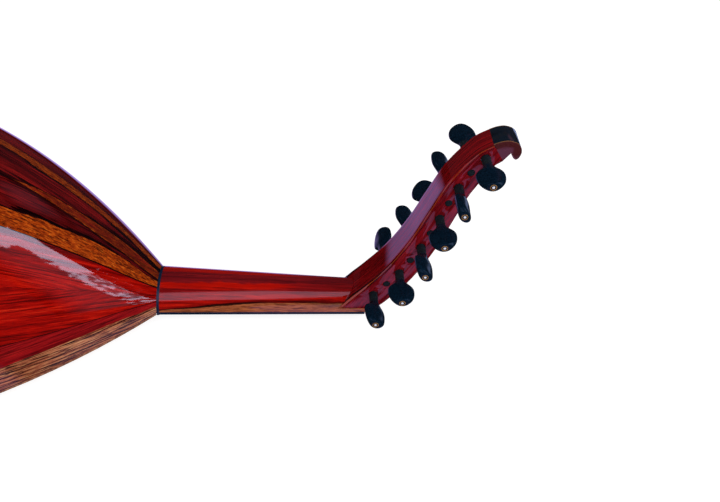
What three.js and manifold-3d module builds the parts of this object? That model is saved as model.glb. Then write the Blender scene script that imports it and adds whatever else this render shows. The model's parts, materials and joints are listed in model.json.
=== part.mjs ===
import * as THREE from 'three';
import { mergeVertices } from 'three/addons/utils/BufferGeometryUtils.js';
import Module from 'manifold-3d';

const wasm = await Module();
wasm.setup();

// An oud lying face down. Millimetres and degrees. While it is modelled, x = 0 is the joint of
// neck and body and +X runs to the head, y = 0 is the centre line, z = 0 is the face of the
// soundboard and +Z runs out of the rounded back. The last lines set it on its resting plane.

// Driving dimensions
const seatGap = 0.3; // between two faces that touch
const cutOverrun = 5; // how far a cutting tool passes its work

const bodyLength = 490;
const bodyWidth = 358;
const bodyDepth = 189;
const bodyWidestFromNeck = 275;
const bodyNeckWidth = 55.6; // across the rim at the joint
const bodyNeckRise = 24.6; // back above the rim at the joint
const riseEaseLength = 25; // over which the back rises to its full proportion
const sideLeaveAngle = 47; // between the rim and the centre line at the joint
const sideReach = 116; // pull of the rim curve at the joint
const shoulderReach = 95; // pull of the rim curve at the widest place
const staveCount = 8;
const seamPinchLength = 55; // over which the seams draw in towards the neck
const staveThickness = 2.8;
const staveTailHalfWidth = 24; // where the staves stop short of the tail's point
const claspHalfWidth = 42;
const claspThickness = 1.6;

const neckLength = 203; // joint to nut
const neckNutWidth = 35;
const neckJointDepth = 26.7;
const neckNutDepth = 25.6;
const ringThickness = 3; // dark ring between neck and body
const ringProud = 0.6;
const fingerboardThickness = 2.9;
const ledgeThickness = 4.2; // strip of neck that runs on under the pegbox

const nutThickness = 5;
const nutProud = 3;
const nutEndSet = 0.6; // its ends, in from the neck's sides
const nutEndSlant = 1.2; // run of the nut's sloping ends, over its height
const nutSlotDepth = 1.3;
const nutSlotWidth = 1.4;

const pegboxLength = 90; // nut to the foot of the finial, along the neck
const pegboxRise = 192.5; // and square to it
const pegboxTipWidth = 25;
const wallThickness = 4.5;
const backThickness = 3;
const frontDepthAtNut = 14.4; // peg line to the front edge of the walls
const frontDepthAtMiddle = 10.9;
const frontDepthAtTip = 8.6;
const backDepthAtNut = 12.8; // peg line to the back edge
const backDepthAtMiddle = 13.4;
const backDepthAtTip = 8;
const footSlope = 52; // of the pegbox's seat on the neck
const footBackSet = 31.5; // from the nut back to the seat's lower end
const heelHeight = 9; // block between the walls behind the nut
const finialReach = 24.5;
const finialDrop = 12.5;

const pegPitch = 17.9;
const pegFirstFromFoot = 20.5;
const pegCount = 11;
const pegShankRadius = 4.1; // at the head's side
const pegTipRadius = 3.2;
const pegTipProud = 0.5;
const bassPegNeckLength = 12.4; // of shank between the wall and the head
const treblePegNeckLength = 17.4;
const pegHeadLength = 28;
const pegHeadWidth = 25;
const pegHeadThickness = 10.6;

const soundboardThickness = 2;
const bindingWidth = 2;
const soundHoleDiameter = 100;
const smallHoleDiameter = 46;
const smallHoleSpacing = 150;
const soundHoleShare = 0.41; // of the way from the neck to the bridge
const smallHoleShare = 0.616;
const rosetteThickness = 1.5;
const rosetteRimWidth = 5;
const leafStartShare = 0.42; // of the way out to the rim
const leafWidthShare = 0.36; // of the angle between two leaves
const beadPlaceShare = 0.9;
const beadSizeShare = 0.72; // of the way out, over the number of leaves
const rosetteEyeShare = 0.55; // of the way out to the leaves
const pickguardLength = 84;
const pickguardWidth = 62;
const pickguardThickness = 0.8;
const pickguardToBridge = 54;

const bridgeLength = 106;
const bridgeFootLength = 78; // its full-height middle
const bridgeWidth = 11;
const bridgeHeight = 10;
const bridgeStringHeight = 7.2;
const bridgeHoleRadius = 1;

const braceWidth = 6;
const braceHeight = 16;
const braceEndHeight = 5;
const neckBlockLength = 46;
const tailBlockDepth = 16;

const stringSpreadAtNut = 24.6;
const stringSpreadAtBridge = 62;
const pairSpacingShare = 0.62; // of the step to the next pair
const stringRadii = [0.52, 0.48, 0.48, 0.42, 0.42, 0.38, 0.38, 0.34, 0.34, 0.3, 0.3];
const knotRadius = 1.3;
const knotLength = 3;

// Facets
const alongBody = 20;
const acrossStave = 4;
const roundSides = 16;
const claspSteps = 5;
const pegSides = 12;
const stringSides = 6;

// Solid making

// Turns every triangle outwards and drops the ones that have collapsed.
function closedGeometry(points, triangles) {
  const loose = new THREE.BufferGeometry();
  loose.setAttribute('position', new THREE.Float32BufferAttribute(points.flatMap((p) => [p.x, p.y, p.z]), 3));
  loose.setIndex(triangles.flat());
  return facingOut(loose);
}

function facingOut(geometry) {
  const bare = geometry.clone();
  bare.deleteAttribute('normal');
  bare.deleteAttribute('uv');
  const merged = mergeVertices(bare);
  const place = merged.getAttribute('position');
  const index = merged.getIndex().array;
  const kept = [];
  let volume = 0;
  const [a, b, c] = [new THREE.Vector3(), new THREE.Vector3(), new THREE.Vector3()];
  for (let i = 0; i < index.length; i += 3) {
    const [ia, ib, ic] = [index[i], index[i + 1], index[i + 2]];
    if (ia === ib || ib === ic || ia === ic) continue;
    kept.push([ia, ib, ic]);
    a.fromBufferAttribute(place, ia);
    b.fromBufferAttribute(place, ib);
    c.fromBufferAttribute(place, ic);
    volume += a.dot(b.cross(c));
  }
  const outward = volume < 0 ? kept.map(([ia, ib, ic]) => [ia, ic, ib]) : kept;
  merged.setIndex(outward.flat());
  return merged;
}

// A solid between two like grids of points, given as rows.
function shell(outer, inner) {
  const rows = outer.length;
  const columns = outer[0].length;
  const points = [...outer.flat(), ...inner.flat()];
  const at = (layer, row, column) => layer * rows * columns + row * columns + column;
  const triangles = [];
  const quad = (p, q, r, s) => triangles.push([p, q, r], [p, r, s]);
  for (let i = 0; i + 1 < rows; i += 1) {
    for (let j = 0; j + 1 < columns; j += 1) {
      quad(at(0, i, j), at(0, i + 1, j), at(0, i + 1, j + 1), at(0, i, j + 1));
      quad(at(1, i, j), at(1, i, j + 1), at(1, i + 1, j + 1), at(1, i + 1, j));
    }
  }
  for (let i = 0; i + 1 < rows; i += 1) {
    quad(at(0, i, 0), at(1, i, 0), at(1, i + 1, 0), at(0, i + 1, 0));
    quad(at(0, i, columns - 1), at(0, i + 1, columns - 1), at(1, i + 1, columns - 1), at(1, i, columns - 1));
  }
  for (let j = 0; j + 1 < columns; j += 1) {
    quad(at(0, 0, j), at(0, 0, j + 1), at(1, 0, j + 1), at(1, 0, j));
    quad(at(0, rows - 1, j), at(1, rows - 1, j), at(1, rows - 1, j + 1), at(0, rows - 1, j + 1));
  }
  return closedGeometry(points, triangles);
}

// A solid through closed rings of points, with a flat cap at each end.
function loft(rings) {
  const sides = rings[0].length;
  const triangles = [];
  rings.slice(1).forEach((_, i) => {
    for (let j = 0; j < sides; j += 1) {
      const next = (j + 1) % sides;
      const [p, q, r, s] = [i * sides + j, i * sides + next, (i + 1) * sides + next, (i + 1) * sides + j];
      triangles.push([p, q, r], [p, r, s]);
    }
  });
  const last = (rings.length - 1) * sides;
  for (let j = 1; j + 1 < sides; j += 1) {
    triangles.push([0, j + 1, j], [last, last + j, last + j + 1]);
  }
  return closedGeometry(rings.flat(), triangles);
}

// An extruded outline, each of whose ends is laid where place(x, y, end) says, end being 0 or 1.
function plate(shape, place, curveSegments = roundSides) {
  const flat = new THREE.ExtrudeGeometry(shape, { depth: 1, bevelEnabled: false, curveSegments });
  const position = flat.getAttribute('position');
  for (let i = 0; i < position.count; i += 1) {
    const laid = place(position.getX(i), position.getY(i), Math.round(position.getZ(i)));
    position.setXYZ(i, laid.x, laid.y, laid.z);
  }
  return facingOut(flat);
}

function toManifold(geometry) {
  return new wasm.Manifold(new wasm.Mesh({
    numProp: 3,
    vertProperties: new Float32Array(geometry.getAttribute('position').array),
    triVerts: new Uint32Array(geometry.getIndex().array),
  }));
}

function fromManifold(solid) {
  const mesh = solid.getMesh();
  const geometry = new THREE.BufferGeometry();
  geometry.setAttribute('position', new THREE.Float32BufferAttribute(mesh.vertProperties, 3));
  geometry.setIndex(Array.from(mesh.triVerts));
  return geometry;
}

const degrees = THREE.MathUtils.degToRad;
const lerp = THREE.MathUtils.lerp;
const steps = (count) => Array.from({ length: count + 1 }, (_, i) => i / count);

// The first share of a curve at which a test holds.
function firstShare(test) {
  let [low, high] = [0, 1];
  while (high - low > 1e-12) {
    const middle = (low + high) / 2;
    if (test(middle)) high = middle;
    else low = middle;
  }
  return high;
}

// Finishes

const finishes = {
  redwood: { color: 0x8e1712, roughness: 0.25, metalness: 0 },
  darkRedwood: { color: 0x5e0d10, roughness: 0.25, metalness: 0 },
  pegboxWood: { color: 0x84182a, roughness: 0.35, metalness: 0 },
  ebony: { color: 0x15171f, roughness: 0.35, metalness: 0 },
  spruce: { color: 0xd9b27c, roughness: 0.5, metalness: 0 },
  bone: { color: 0xe8dfc8, roughness: 0.4, metalness: 0 },
  walnut: { color: 0x5a3620, roughness: 0.4, metalness: 0 },
  string: { color: 0xc9c4b4, roughness: 0.4, metalness: 0 },
  woundString: { color: 0xb0aea8, roughness: 0.35, metalness: 0.8 },
};

const oud = new THREE.Group();

function addPiece(name, geometry, finish) {
  geometry.computeVertexNormals();
  const piece = new THREE.Mesh(geometry, new THREE.MeshStandardMaterial(finishes[finish]));
  piece.name = name;
  oud.add(piece);
}

// Body: the rim is a curve of half width against distance from the neck

const rimZ = soundboardThickness + seatGap; // the staves stand on the soundboard
const bodyHalfWidth = bodyWidth / 2;
const neckHalfWidth = bodyNeckWidth / 2;
const leave = degrees(sideLeaveAngle);

const rim = new THREE.CurvePath();
rim.add(new THREE.CubicBezierCurve(
  new THREE.Vector2(0, neckHalfWidth),
  new THREE.Vector2(sideReach * Math.cos(leave), neckHalfWidth + sideReach * Math.sin(leave)),
  new THREE.Vector2(bodyWidestFromNeck - shoulderReach, bodyHalfWidth),
  new THREE.Vector2(bodyWidestFromNeck, bodyHalfWidth),
));
rim.add(new THREE.EllipseCurve(
  bodyWidestFromNeck, 0, bodyLength - bodyWidestFromNeck, bodyHalfWidth, Math.PI / 2, 0, true,
));

const rimShareAt = (fromNeck) => firstShare((share) => rim.getPoint(share).x >= fromNeck);
const tailShareAt = (halfWidth) => firstShare((share) => {
  const p = rim.getPoint(share);
  return p.x > bodyWidestFromNeck && p.y <= halfWidth;
});

const fullRiseShare = (bodyDepth - rimZ) / bodyHalfWidth;
const neckRiseShare = bodyNeckRise / neckHalfWidth;

function riseShare(fromNeck) {
  return fullRiseShare - (fullRiseShare - neckRiseShare) * Math.exp(-fromNeck / riseEaseLength);
}

function backPoint(share, angle) {
  const p = rim.getPoint(THREE.MathUtils.clamp(share, 0, 1));
  return new THREE.Vector3(-p.x, -p.y * Math.cos(angle), rimZ + p.y * riseShare(p.x) * Math.sin(angle));
}

// A point of the rounded back, set in by a depth. The angle runs from 0 at the bass rim to pi.
function bowlPoint(share, angle, inset) {
  const nudge = 1e-3;
  const here = backPoint(share, angle);
  if (share >= 1) return here.add(new THREE.Vector3(inset, 0, 0));
  const along = backPoint(share + nudge, angle).sub(backPoint(share - nudge, angle));
  const across = backPoint(share, angle + nudge).sub(backPoint(share, angle - nudge));
  return here.addScaledVector(along.cross(across).normalize(), inset);
}

const staveEndShare = tailShareAt(staveTailHalfWidth);
const claspShare = tailShareAt(claspHalfWidth);

// The angles round the back, in degrees, of the seams on the bass side: well away from the neck, and at it.
const bassSeams = [[0, 0], [19, 28.5], [43.5, 43.2], [68, 58], [90, 90]];

function seamAngle(seam, fromNeck) {
  const [away, atNeck] = bassSeams[Math.min(seam, staveCount - seam)];
  const angle = degrees(lerp(away, atNeck, Math.exp(-fromNeck / seamPinchLength)));
  return seam * 2 > staveCount ? Math.PI - angle : angle;
}

// The angles of the facets' edges all round the back, at a station.
function facetAngles(share) {
  const fromNeck = rim.getPoint(share).x;
  return steps(staveCount * acrossStave).map((step, edge) => {
    const number = Math.min(Math.floor(edge / acrossStave), staveCount - 1);
    return lerp(seamAngle(number, fromNeck), seamAngle(number + 1, fromNeck), edge / acrossStave - number);
  });
}

const bodyStations = steps(alongBody).map((along) => lerp(rimShareAt(seatGap), staveEndShare, along));

function staveGrid(number, inset) {
  return bodyStations.map((share) => {
    const { x: fromNeck, y: half } = rim.getPoint(share);
    const slit = seatGap / 2 / half;
    const [from, to] = [seamAngle(number, fromNeck), seamAngle(number + 1, fromNeck)];
    const first = number === 0 ? 0 : slit;
    const last = number === staveCount - 1 ? 0 : slit;
    return steps(acrossStave).map((across) => bowlPoint(share, lerp(from + first, to - last, across), inset));
  });
}

function addStaves() {
  for (let number = 0; number < staveCount; number += 1) {
    const finish = number % 2 ? 'redwood' : 'darkRedwood';
    addPiece(`stave_${number + 1}`, shell(staveGrid(number, 0), staveGrid(number, staveThickness)), finish);
  }
}

function addClasp() {
  const sideStep = steps(staveCount * 2);
  const layer = (inset) => steps(claspSteps).map((along) => {
    const share = lerp(claspShare, 1, along);
    return sideStep.map((side) => bowlPoint(share, side * Math.PI, inset));
  });
  addPiece('end_clasp', shell(layer(-seatGap - claspThickness), layer(-seatGap)), 'ebony');
}

// A block glued inside one end of the body, along the stations that a test keeps
function addBlock(name, keeps) {
  const rings = bodyStations.filter((share) => keeps(rim.getPoint(share).x)).map((share) => (
    facetAngles(share).map((angle) => bowlPoint(share, angle, staveThickness + seatGap))
  ));
  addPiece(name, loft(rings), 'walnut');
}

// Soundboard with its binding, holes, rosettes, braces and pickguard

// The rim's outline seen from the face, set in by a depth, from the bass side round the tail.
function faceOutline(inset, fromNeck) {
  const start = rimShareAt(fromNeck);
  const half = steps(alongBody * 1.5).map((along) => {
    const share = lerp(start, 1, along);
    const p = rim.getPoint(share);
    const normal = share < 1 ? rim.getTangent(share) : new THREE.Vector2(0, -1);
    return new THREE.Vector2(-p.x + inset * -normal.y, -p.y + inset * normal.x);
  });
  const other = half.slice(0, -1).reverse().map((p) => new THREE.Vector2(p.x, -p.y));
  return [...half, ...other];
}

const scaleLength = neckLength * 3; // the neck is a third of the open string
const bridgeX = neckLength - scaleLength;

const flatPlate = (low, high) => (x, y, end) => new THREE.Vector3(x, y, lerp(low, high, end));
const bodyTop = -seatGap; // the soundboard's end at the neck

function clippedAtNeck(outline) {
  return outline.map((p) => new THREE.Vector2(Math.min(p.x, bodyTop), p.y));
}

function circlePath(x, y, radius) {
  const circle = new THREE.Path();
  circle.absarc(x, y, radius, 0, Math.PI * 2, false);
  return circle;
}

const soundHoles = [
  { name: 'rosette_main', x: bridgeX * soundHoleShare, y: 0, radius: soundHoleDiameter / 2, petals: 12 },
  { name: 'rosette_bass', x: bridgeX * smallHoleShare, y: -smallHoleSpacing / 2, radius: smallHoleDiameter / 2, petals: 6 },
  { name: 'rosette_treble', x: bridgeX * smallHoleShare, y: smallHoleSpacing / 2, radius: smallHoleDiameter / 2, petals: 6 },
];

function addSoundboard() {
  const inner = new THREE.Shape(clippedAtNeck(faceOutline(bindingWidth + seatGap, seatGap)));
  soundHoles.forEach((hole) => inner.holes.push(circlePath(hole.x, hole.y, hole.radius)));
  addPiece('soundboard', plate(inner, flatPlate(0, soundboardThickness)), 'spruce');
  const outside = clippedAtNeck(faceOutline(0, seatGap));
  const inside = clippedAtNeck(faceOutline(bindingWidth, seatGap));
  const ring = new THREE.Shape([...outside, ...inside.reverse()]);
  addPiece('edge_binding', plate(ring, flatPlate(0, soundboardThickness)), 'ebony');
}

// A pierced rose: leaf openings turned about the middle, with a ring of round ones between them.
function addRosette(hole) {
  const radius = hole.radius - seatGap;
  const leafEnd = radius - rosetteRimWidth;
  const leafStart = leafEnd * leafStartShare;
  const rose = new THREE.Shape(circlePath(0, 0, radius).getPoints(roundSides));
  const turn = (Math.PI * 2) / hole.petals;
  for (let k = 0; k < hole.petals; k += 1) {
    const at = (angle, reach) => new THREE.Vector2(Math.cos(angle) * reach, Math.sin(angle) * reach);
    const [tip, root] = [at(k * turn, leafEnd), at(k * turn, leafStart)];
    const [left, right] = [-1, 1].map((side) => at((k + side * leafWidthShare) * turn, (leafStart + leafEnd) / 2));
    const leaf = new THREE.Path();
    leaf.moveTo(root.x, root.y);
    leaf.quadraticCurveTo(left.x, left.y, tip.x, tip.y);
    leaf.quadraticCurveTo(right.x, right.y, root.x, root.y);
    rose.holes.push(leaf);
    const bead = at((k + 0.5) * turn, leafEnd * beadPlaceShare);
    rose.holes.push(circlePath(bead.x, bead.y, (leafEnd * beadSizeShare) / hole.petals));
  }
  rose.holes.push(circlePath(0, 0, leafStart * rosetteEyeShare));
  const sunk = (soundboardThickness - rosetteThickness) / 2;
  const place = flatPlate(sunk, sunk + rosetteThickness);
  addPiece(hole.name, plate(rose, (x, y, end) => place(x + hole.x, y + hole.y, end), 4), 'walnut');
}

function addPickguard() {
  const tip = bridgeX + pickguardToBridge + pickguardLength;
  const half = pickguardWidth / 2;
  const middle = tip - pickguardLength + half;
  const [waist, shoulder] = [0.3, 0.45].map((share) => tip - pickguardLength * share);
  const drop = new THREE.Shape();
  drop.moveTo(tip, 0);
  drop.bezierCurveTo(waist, half / 4, shoulder, half, middle, half);
  drop.absarc(middle, 0, half, Math.PI / 2, Math.PI * 1.5, false);
  drop.bezierCurveTo(shoulder, -half, waist, -half / 4, tip, 0);
  addPiece('pickguard', plate(drop, flatPlate(-seatGap - pickguardThickness, -seatGap), roundSides / 2), 'walnut');
}

const bracePlaceShares = [0.145, 0.205, 0.6, 0.69, 0.76, 0.9];

// Points just inside the lowest facet of the first stave, station by station: its foot and its top.
const insideFacet = bodyStations.map((share) => facetAngles(share).slice(0, 2).map((angle) => (
  bowlPoint(share, angle, staveThickness + seatGap)
)));

// Half the clear width inside the staves, at a place and a height above the rim.
function insideHalfWidth(fromNeck, height) {
  const after = insideFacet.findIndex(([foot]) => -foot.x > fromNeck);
  const [near, far] = insideFacet.slice(after - 1, after + 1).map(([foot, top]) => (
    { x: -foot.x, half: -lerp(foot.y, top.y, height / (top.z - foot.z)) }
  ));
  return lerp(near.half, far.half, (fromNeck - near.x) / (far.x - near.x));
}

function addBrace(number, fromNeck) {
  const half = Math.min(...[-1, 1].map((side) => (
    insideHalfWidth(fromNeck + (side * braceWidth) / 2, braceEndHeight)
  ))) - seatGap;
  const shoulder = half - braceHeight * 2;
  const low = rimZ;
  const profile = new THREE.Shape();
  profile.moveTo(-half, low);
  profile.lineTo(half, low);
  profile.lineTo(half, low + braceEndHeight);
  profile.quadraticCurveTo(shoulder, low + braceEndHeight, shoulder, low + braceHeight);
  profile.lineTo(-shoulder, low + braceHeight);
  profile.quadraticCurveTo(-shoulder, low + braceEndHeight, -half, low + braceEndHeight);
  const middle = -fromNeck;
  const place = (x, y, end) => new THREE.Vector3(middle + (end - 0.5) * braceWidth, x, y);
  addPiece(`brace_${number}`, plate(profile, place, 4), 'spruce');
}

// Neck

const neckFrontX = seatGap * 2 + ringThickness;
const ledgeZ = fingerboardThickness + seatGap + ledgeThickness;
const footX = neckLength - footBackSet;
const footDirection = new THREE.Vector2(Math.cos(degrees(footSlope)), Math.sin(degrees(footSlope)));

const neckHalfAt = (x) => lerp(neckHalfWidth, neckNutWidth / 2, x / neckLength);
const neckDepthAt = (x) => lerp(neckJointDepth, neckNutDepth, x / neckLength);

// The round back of the neck across x, closed by its flat face.
function neckRing(x, proud, faceZ) {
  const half = neckHalfAt(x) + proud;
  const rise = neckDepthAt(x) + proud - faceZ;
  return steps(roundSides).map((side) => new THREE.Vector3(
    x, -half * Math.cos(side * Math.PI), faceZ + rise * Math.sin(side * Math.PI),
  ));
}

// A prism square to the centre line, wider than the neck, over an outline in x and z.
function crossPrism(outline) {
  const half = bodyNeckWidth + cutOverrun;
  return plate(new THREE.Shape(outline), (x, z, end) => new THREE.Vector3(x, (end - 0.5) * 2 * half, z));
}

function addNeck() {
  const faceZ = fingerboardThickness + seatGap;
  const whole = loft([neckFrontX, neckLength].map((x) => neckRing(x, 0, faceZ)));
  const high = neckJointDepth + cutOverrun;
  const along = (high - ledgeZ) / footDirection.y;
  const foot = crossPrism([
    new THREE.Vector2(footX, ledgeZ),
    new THREE.Vector2(neckLength + cutOverrun, ledgeZ),
    new THREE.Vector2(neckLength + cutOverrun, high),
    new THREE.Vector2(footX + along * footDirection.x, high),
  ]);
  addPiece('neck', fromManifold(toManifold(whole).subtract(toManifold(foot))), 'redwood');
  const ring = loft([seatGap, seatGap + ringThickness].map((x) => neckRing(x, ringProud, 0)));
  addPiece('neck_ring', ring, 'ebony');
  const board = new THREE.Shape([
    new THREE.Vector2(neckFrontX, -neckHalfAt(neckFrontX)),
    new THREE.Vector2(neckLength - nutThickness - seatGap, -neckHalfAt(neckLength - nutThickness)),
    new THREE.Vector2(neckLength - nutThickness - seatGap, neckHalfAt(neckLength - nutThickness)),
    new THREE.Vector2(neckFrontX, neckHalfAt(neckFrontX)),
  ]);
  addPiece('fingerboard', plate(board, flatPlate(0, fingerboardThickness)), 'ebony');
}

// Strings: one bass string, then pairs

const stringCount = stringRadii.length;
const pairCount = (stringCount - 1) / 2;

// Where a string lies across a spread, from -0.5 at the bass to 0.5 at the treble.
const laneShares = stringRadii.map((_, number) => {
  const pair = Math.ceil(number / 2);
  const inPair = number > 0 && number % 2 === 0 ? 1 - pairSpacingShare : 0;
  return (pair + inPair) / (pairCount + 1 - pairSpacingShare) - 0.5;
});

const nutLaneY = (number) => laneShares[number] * stringSpreadAtNut;
const bridgeLaneY = (number) => laneShares[number] * stringSpreadAtBridge;

function addNut() {
  const [half, face] = [neckNutWidth / 2 - nutEndSet, fingerboardThickness];
  const profile = new THREE.Shape();
  const shoulder = half - nutProud * nutEndSlant;
  profile.moveTo(-half, face);
  profile.lineTo(-half, 0);
  profile.lineTo(-shoulder, -nutProud);
  stringRadii.forEach((_, number) => {
    const y = nutLaneY(number);
    profile.lineTo(y - nutSlotWidth / 2, -nutProud);
    profile.lineTo(y - nutSlotWidth / 2, -nutProud + nutSlotDepth);
    profile.lineTo(y + nutSlotWidth / 2, -nutProud + nutSlotDepth);
    profile.lineTo(y + nutSlotWidth / 2, -nutProud);
  });
  profile.lineTo(shoulder, -nutProud);
  profile.lineTo(half, 0);
  profile.lineTo(half, face);
  const start = neckLength - nutThickness;
  addPiece('nut', plate(profile, (y, z, end) => new THREE.Vector3(start + end * nutThickness, y, z)), 'bone');
}

function addBridge() {
  const [half, foot] = [bridgeLength / 2, bridgeFootLength / 2];
  const [face, low] = [-seatGap, -bridgeHeight];
  const profile = new THREE.Shape();
  profile.moveTo(-half, face);
  profile.lineTo(-half, face - bridgeHeight / 4);
  profile.quadraticCurveTo(-foot, face - bridgeHeight / 4, -foot, low);
  profile.lineTo(foot, low);
  profile.quadraticCurveTo(foot, face - bridgeHeight / 4, half, face - bridgeHeight / 4);
  profile.lineTo(half, face);
  stringRadii.forEach((_, number) => {
    profile.holes.push(circlePath(bridgeLaneY(number), -bridgeStringHeight, bridgeHoleRadius));
  });
  const place = (y, z, end) => new THREE.Vector3(bridgeX - end * bridgeWidth, y, z);
  addPiece('bridge', plate(profile, place, 4), 'walnut');
}

// Pegbox: everything is set off from the peg line, an S in the plane y = 0

// Points of the peg line from the foot, past the finial's, as shares of the pegbox's run and rise.
const pegLineShares = [
  [-0.139, 0.06], [0.013, 0.138], [0.249, 0.283], [0.439, 0.455], [0.574, 0.63], [0.708, 0.812],
  [0.884, 0.953], [1, 1], [1.147, 1.032],
];

const pegLine = new THREE.SplineCurve(pegLineShares.map(([run, rise]) => new THREE.Vector2(
  neckLength + run * pegboxLength, rise * pegboxRise,
)));
const pegLineLength = pegLine.getLength();
const tipShare = firstShare((share) => pegLine.getPointAt(share).x >= neckLength + pegboxLength);
const chord = new THREE.Vector2(pegboxLength, pegboxRise);

// Half the outer width of the pegbox at a point of its side
function halfAcross(x, z) {
  const along = ((x - neckLength) * chord.x + z * chord.y) / chord.lengthSq();
  return lerp(neckNutWidth, pegboxTipWidth, along) / 2;
}

// A value that passes through three sizes on its way along the pegbox.
function threeWay(share, atNut, atMiddle, atTip) {
  const fromMiddle = (share / tipShare) * 2 - 1;
  const bend = (atNut + atTip) / 2 - atMiddle;
  return atMiddle + ((atTip - atNut) / 2) * fromMiddle + bend * fromMiddle ** 2;
}

const frontDepth = (share) => threeWay(share, frontDepthAtNut, frontDepthAtMiddle, frontDepthAtTip);
const backDepth = (share) => threeWay(share, backDepthAtNut, backDepthAtMiddle, backDepthAtTip);

// A point beside the peg line: depth is positive towards the open front.
function besidePegLine(share, depth) {
  const tangent = pegLine.getTangentAt(share);
  return pegLine.getPointAt(share).add(new THREE.Vector2(tangent.y, -tangent.x).multiplyScalar(depth));
}

const edgeSteps = 22;
const ledgeTop = ledgeZ + seatGap;
const wallEndShare = tipShare - seatGap / pegLineLength;

function frontEdge() {
  return steps(edgeSteps).map((step) => step * wallEndShare)
    .map((share) => besidePegLine(share, frontDepth(share)))
    .filter((p) => p.y > ledgeTop && p.x > neckLength);
}

function backEdge(inset) {
  return steps(edgeSteps).map((step) => step * wallEndShare)
    .map((share) => besidePegLine(share, inset - backDepth(share)))
    .filter((p) => p.y > ledgeTop + footDirection.y);
}

// Where the seat on the neck meets the ledge, set in by a depth.
const footPoint = (inset) => new THREE.Vector2(footX + inset / footDirection.y, ledgeTop);

const pegs = steps(pegCount - 1).map((step, number) => {
  const share = (pegFirstFromFoot + number * pegPitch) / pegLineLength;
  const place = pegLine.getPointAt(share);
  return { share, x: place.x, z: place.y, near: number % 2 === 0 };
});

function holeRadii(side) {
  return pegs.map((peg) => (peg.near === (side < 0) ? pegShankRadius : pegTipRadius) + seatGap);
}

// Takes off what would reach into the neck, up to the height of the neck's back.
function seatedOnNeck(geometry) {
  const high = neckNutDepth + seatGap;
  const up = (z) => footPoint(seatGap).addScaledVector(footDirection, (z - ledgeTop) / footDirection.y);
  const behind = [up(-cutOverrun), up(high), new THREE.Vector2(footX - footBackSet, high),
    new THREE.Vector2(footX - footBackSet, -cutOverrun)];
  return fromManifold(toManifold(geometry).subtract(toManifold(crossPrism(behind))));
}

function addPegbox() {
  const sides = [{ name: 'pegbox_wall_bass', side: -1 }, { name: 'pegbox_wall_treble', side: 1 }];
  sides.forEach(({ name, side }) => {
    const inset = backThickness + seatGap * 2;
    const outline = [footPoint(inset), new THREE.Vector2(neckLength, ledgeTop), ...frontEdge(),
      ...backEdge(backThickness + seatGap).reverse()];
    const wall = new THREE.Shape(outline);
    holeRadii(side).forEach((radius, number) => {
      wall.holes.push(circlePath(pegs[number].x, pegs[number].z, radius));
    });
    const place = (x, z, end) => new THREE.Vector3(x, side * (halfAcross(x, z) - end * wallThickness), z);
    addPiece(name, seatedOnNeck(plate(wall, place, pegSides / 2)), 'pegboxWood');
  });
  const back = new THREE.Shape([footPoint(seatGap), footPoint(seatGap + backThickness),
    ...backEdge(backThickness), ...backEdge(0).reverse()]);
  const across = (x, z, end) => new THREE.Vector3(x, (end - 0.5) * 2 * halfAcross(x, z), z);
  addPiece('pegbox_back', seatedOnNeck(plate(back, across)), 'redwood');
  const inset = backThickness + seatGap * 2;
  const [low, high] = [footPoint(inset), footPoint(inset)];
  high.addScaledVector(footDirection, heelHeight / footDirection.y);
  const heel = new THREE.Shape([low, new THREE.Vector2(neckLength - nutThickness, ledgeTop),
    new THREE.Vector2(neckLength - nutThickness * 2, ledgeTop + heelHeight / 2), high]);
  const between = (x, z, end) => new THREE.Vector3(
    x, (end - 0.5) * 2 * (halfAcross(x, z) - wallThickness - seatGap), z,
  );
  addPiece('pegbox_heel', plate(heel, between), 'walnut');
}

// Finial: the dark nose that closes the pegbox, with a small curl to the front
function addFinial() {
  const front = besidePegLine(tipShare, frontDepth(tipShare));
  const back = besidePegLine(tipShare, -backDepth(tipShare));
  const at = (reachShare, dropShare) => new THREE.Vector2(
    back.x + finialReach * reachShare, back.y + finialDrop * dropShare,
  );
  const [crown, nose, curl, notch] = [at(0.5, 0.36), at(1.02, -0.46), at(0.84, -1.02), at(0.64, -0.56)];
  const profile = new THREE.Shape();
  profile.moveTo(back.x, back.y);
  profile.quadraticCurveTo(...at(0.25, 0.32), ...crown);
  profile.quadraticCurveTo(...at(0.98, 0.3), ...nose);
  profile.quadraticCurveTo(...at(1.02, -0.96), ...curl);
  profile.quadraticCurveTo(...at(0.72, -1), ...notch);
  profile.lineTo(front.x, front.y);
  const across = (x, z, end) => new THREE.Vector3(x, (end - 0.5) * 2 * halfAcross(x, z), z);
  addPiece('finial', plate(profile, across, 6), 'ebony');
}

// Pegs

// Half width and half thickness of a peg, as shares of the head's, along the head.
const headShares = [
  [0, 0.35, 0.78], [0.05, 0.38, 0.8], [0.1, 0.52, 0.82], [0.16, 0.72, 0.82], [0.25, 0.9, 0.8], [0.38, 0.99, 0.8],
  [0.52, 1, 0.84], [0.66, 0.98, 0.9], [0.79, 0.9, 0.95], [0.89, 0.76, 0.98], [0.955, 0.6, 0.95], [1, 0.42, 0.8],
];

// How far each head is turned from lying flat with its face to the back, in degrees, from the nut.
const headTurns = [44, -52, 6, -52, 48, -12, 2, -62, 68, -5, 2];

const pegNames = pegs.map((peg, number) => `peg_${peg.near ? 'bass' : 'treble'}_${Math.floor(number / 2) + 1}`);

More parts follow.
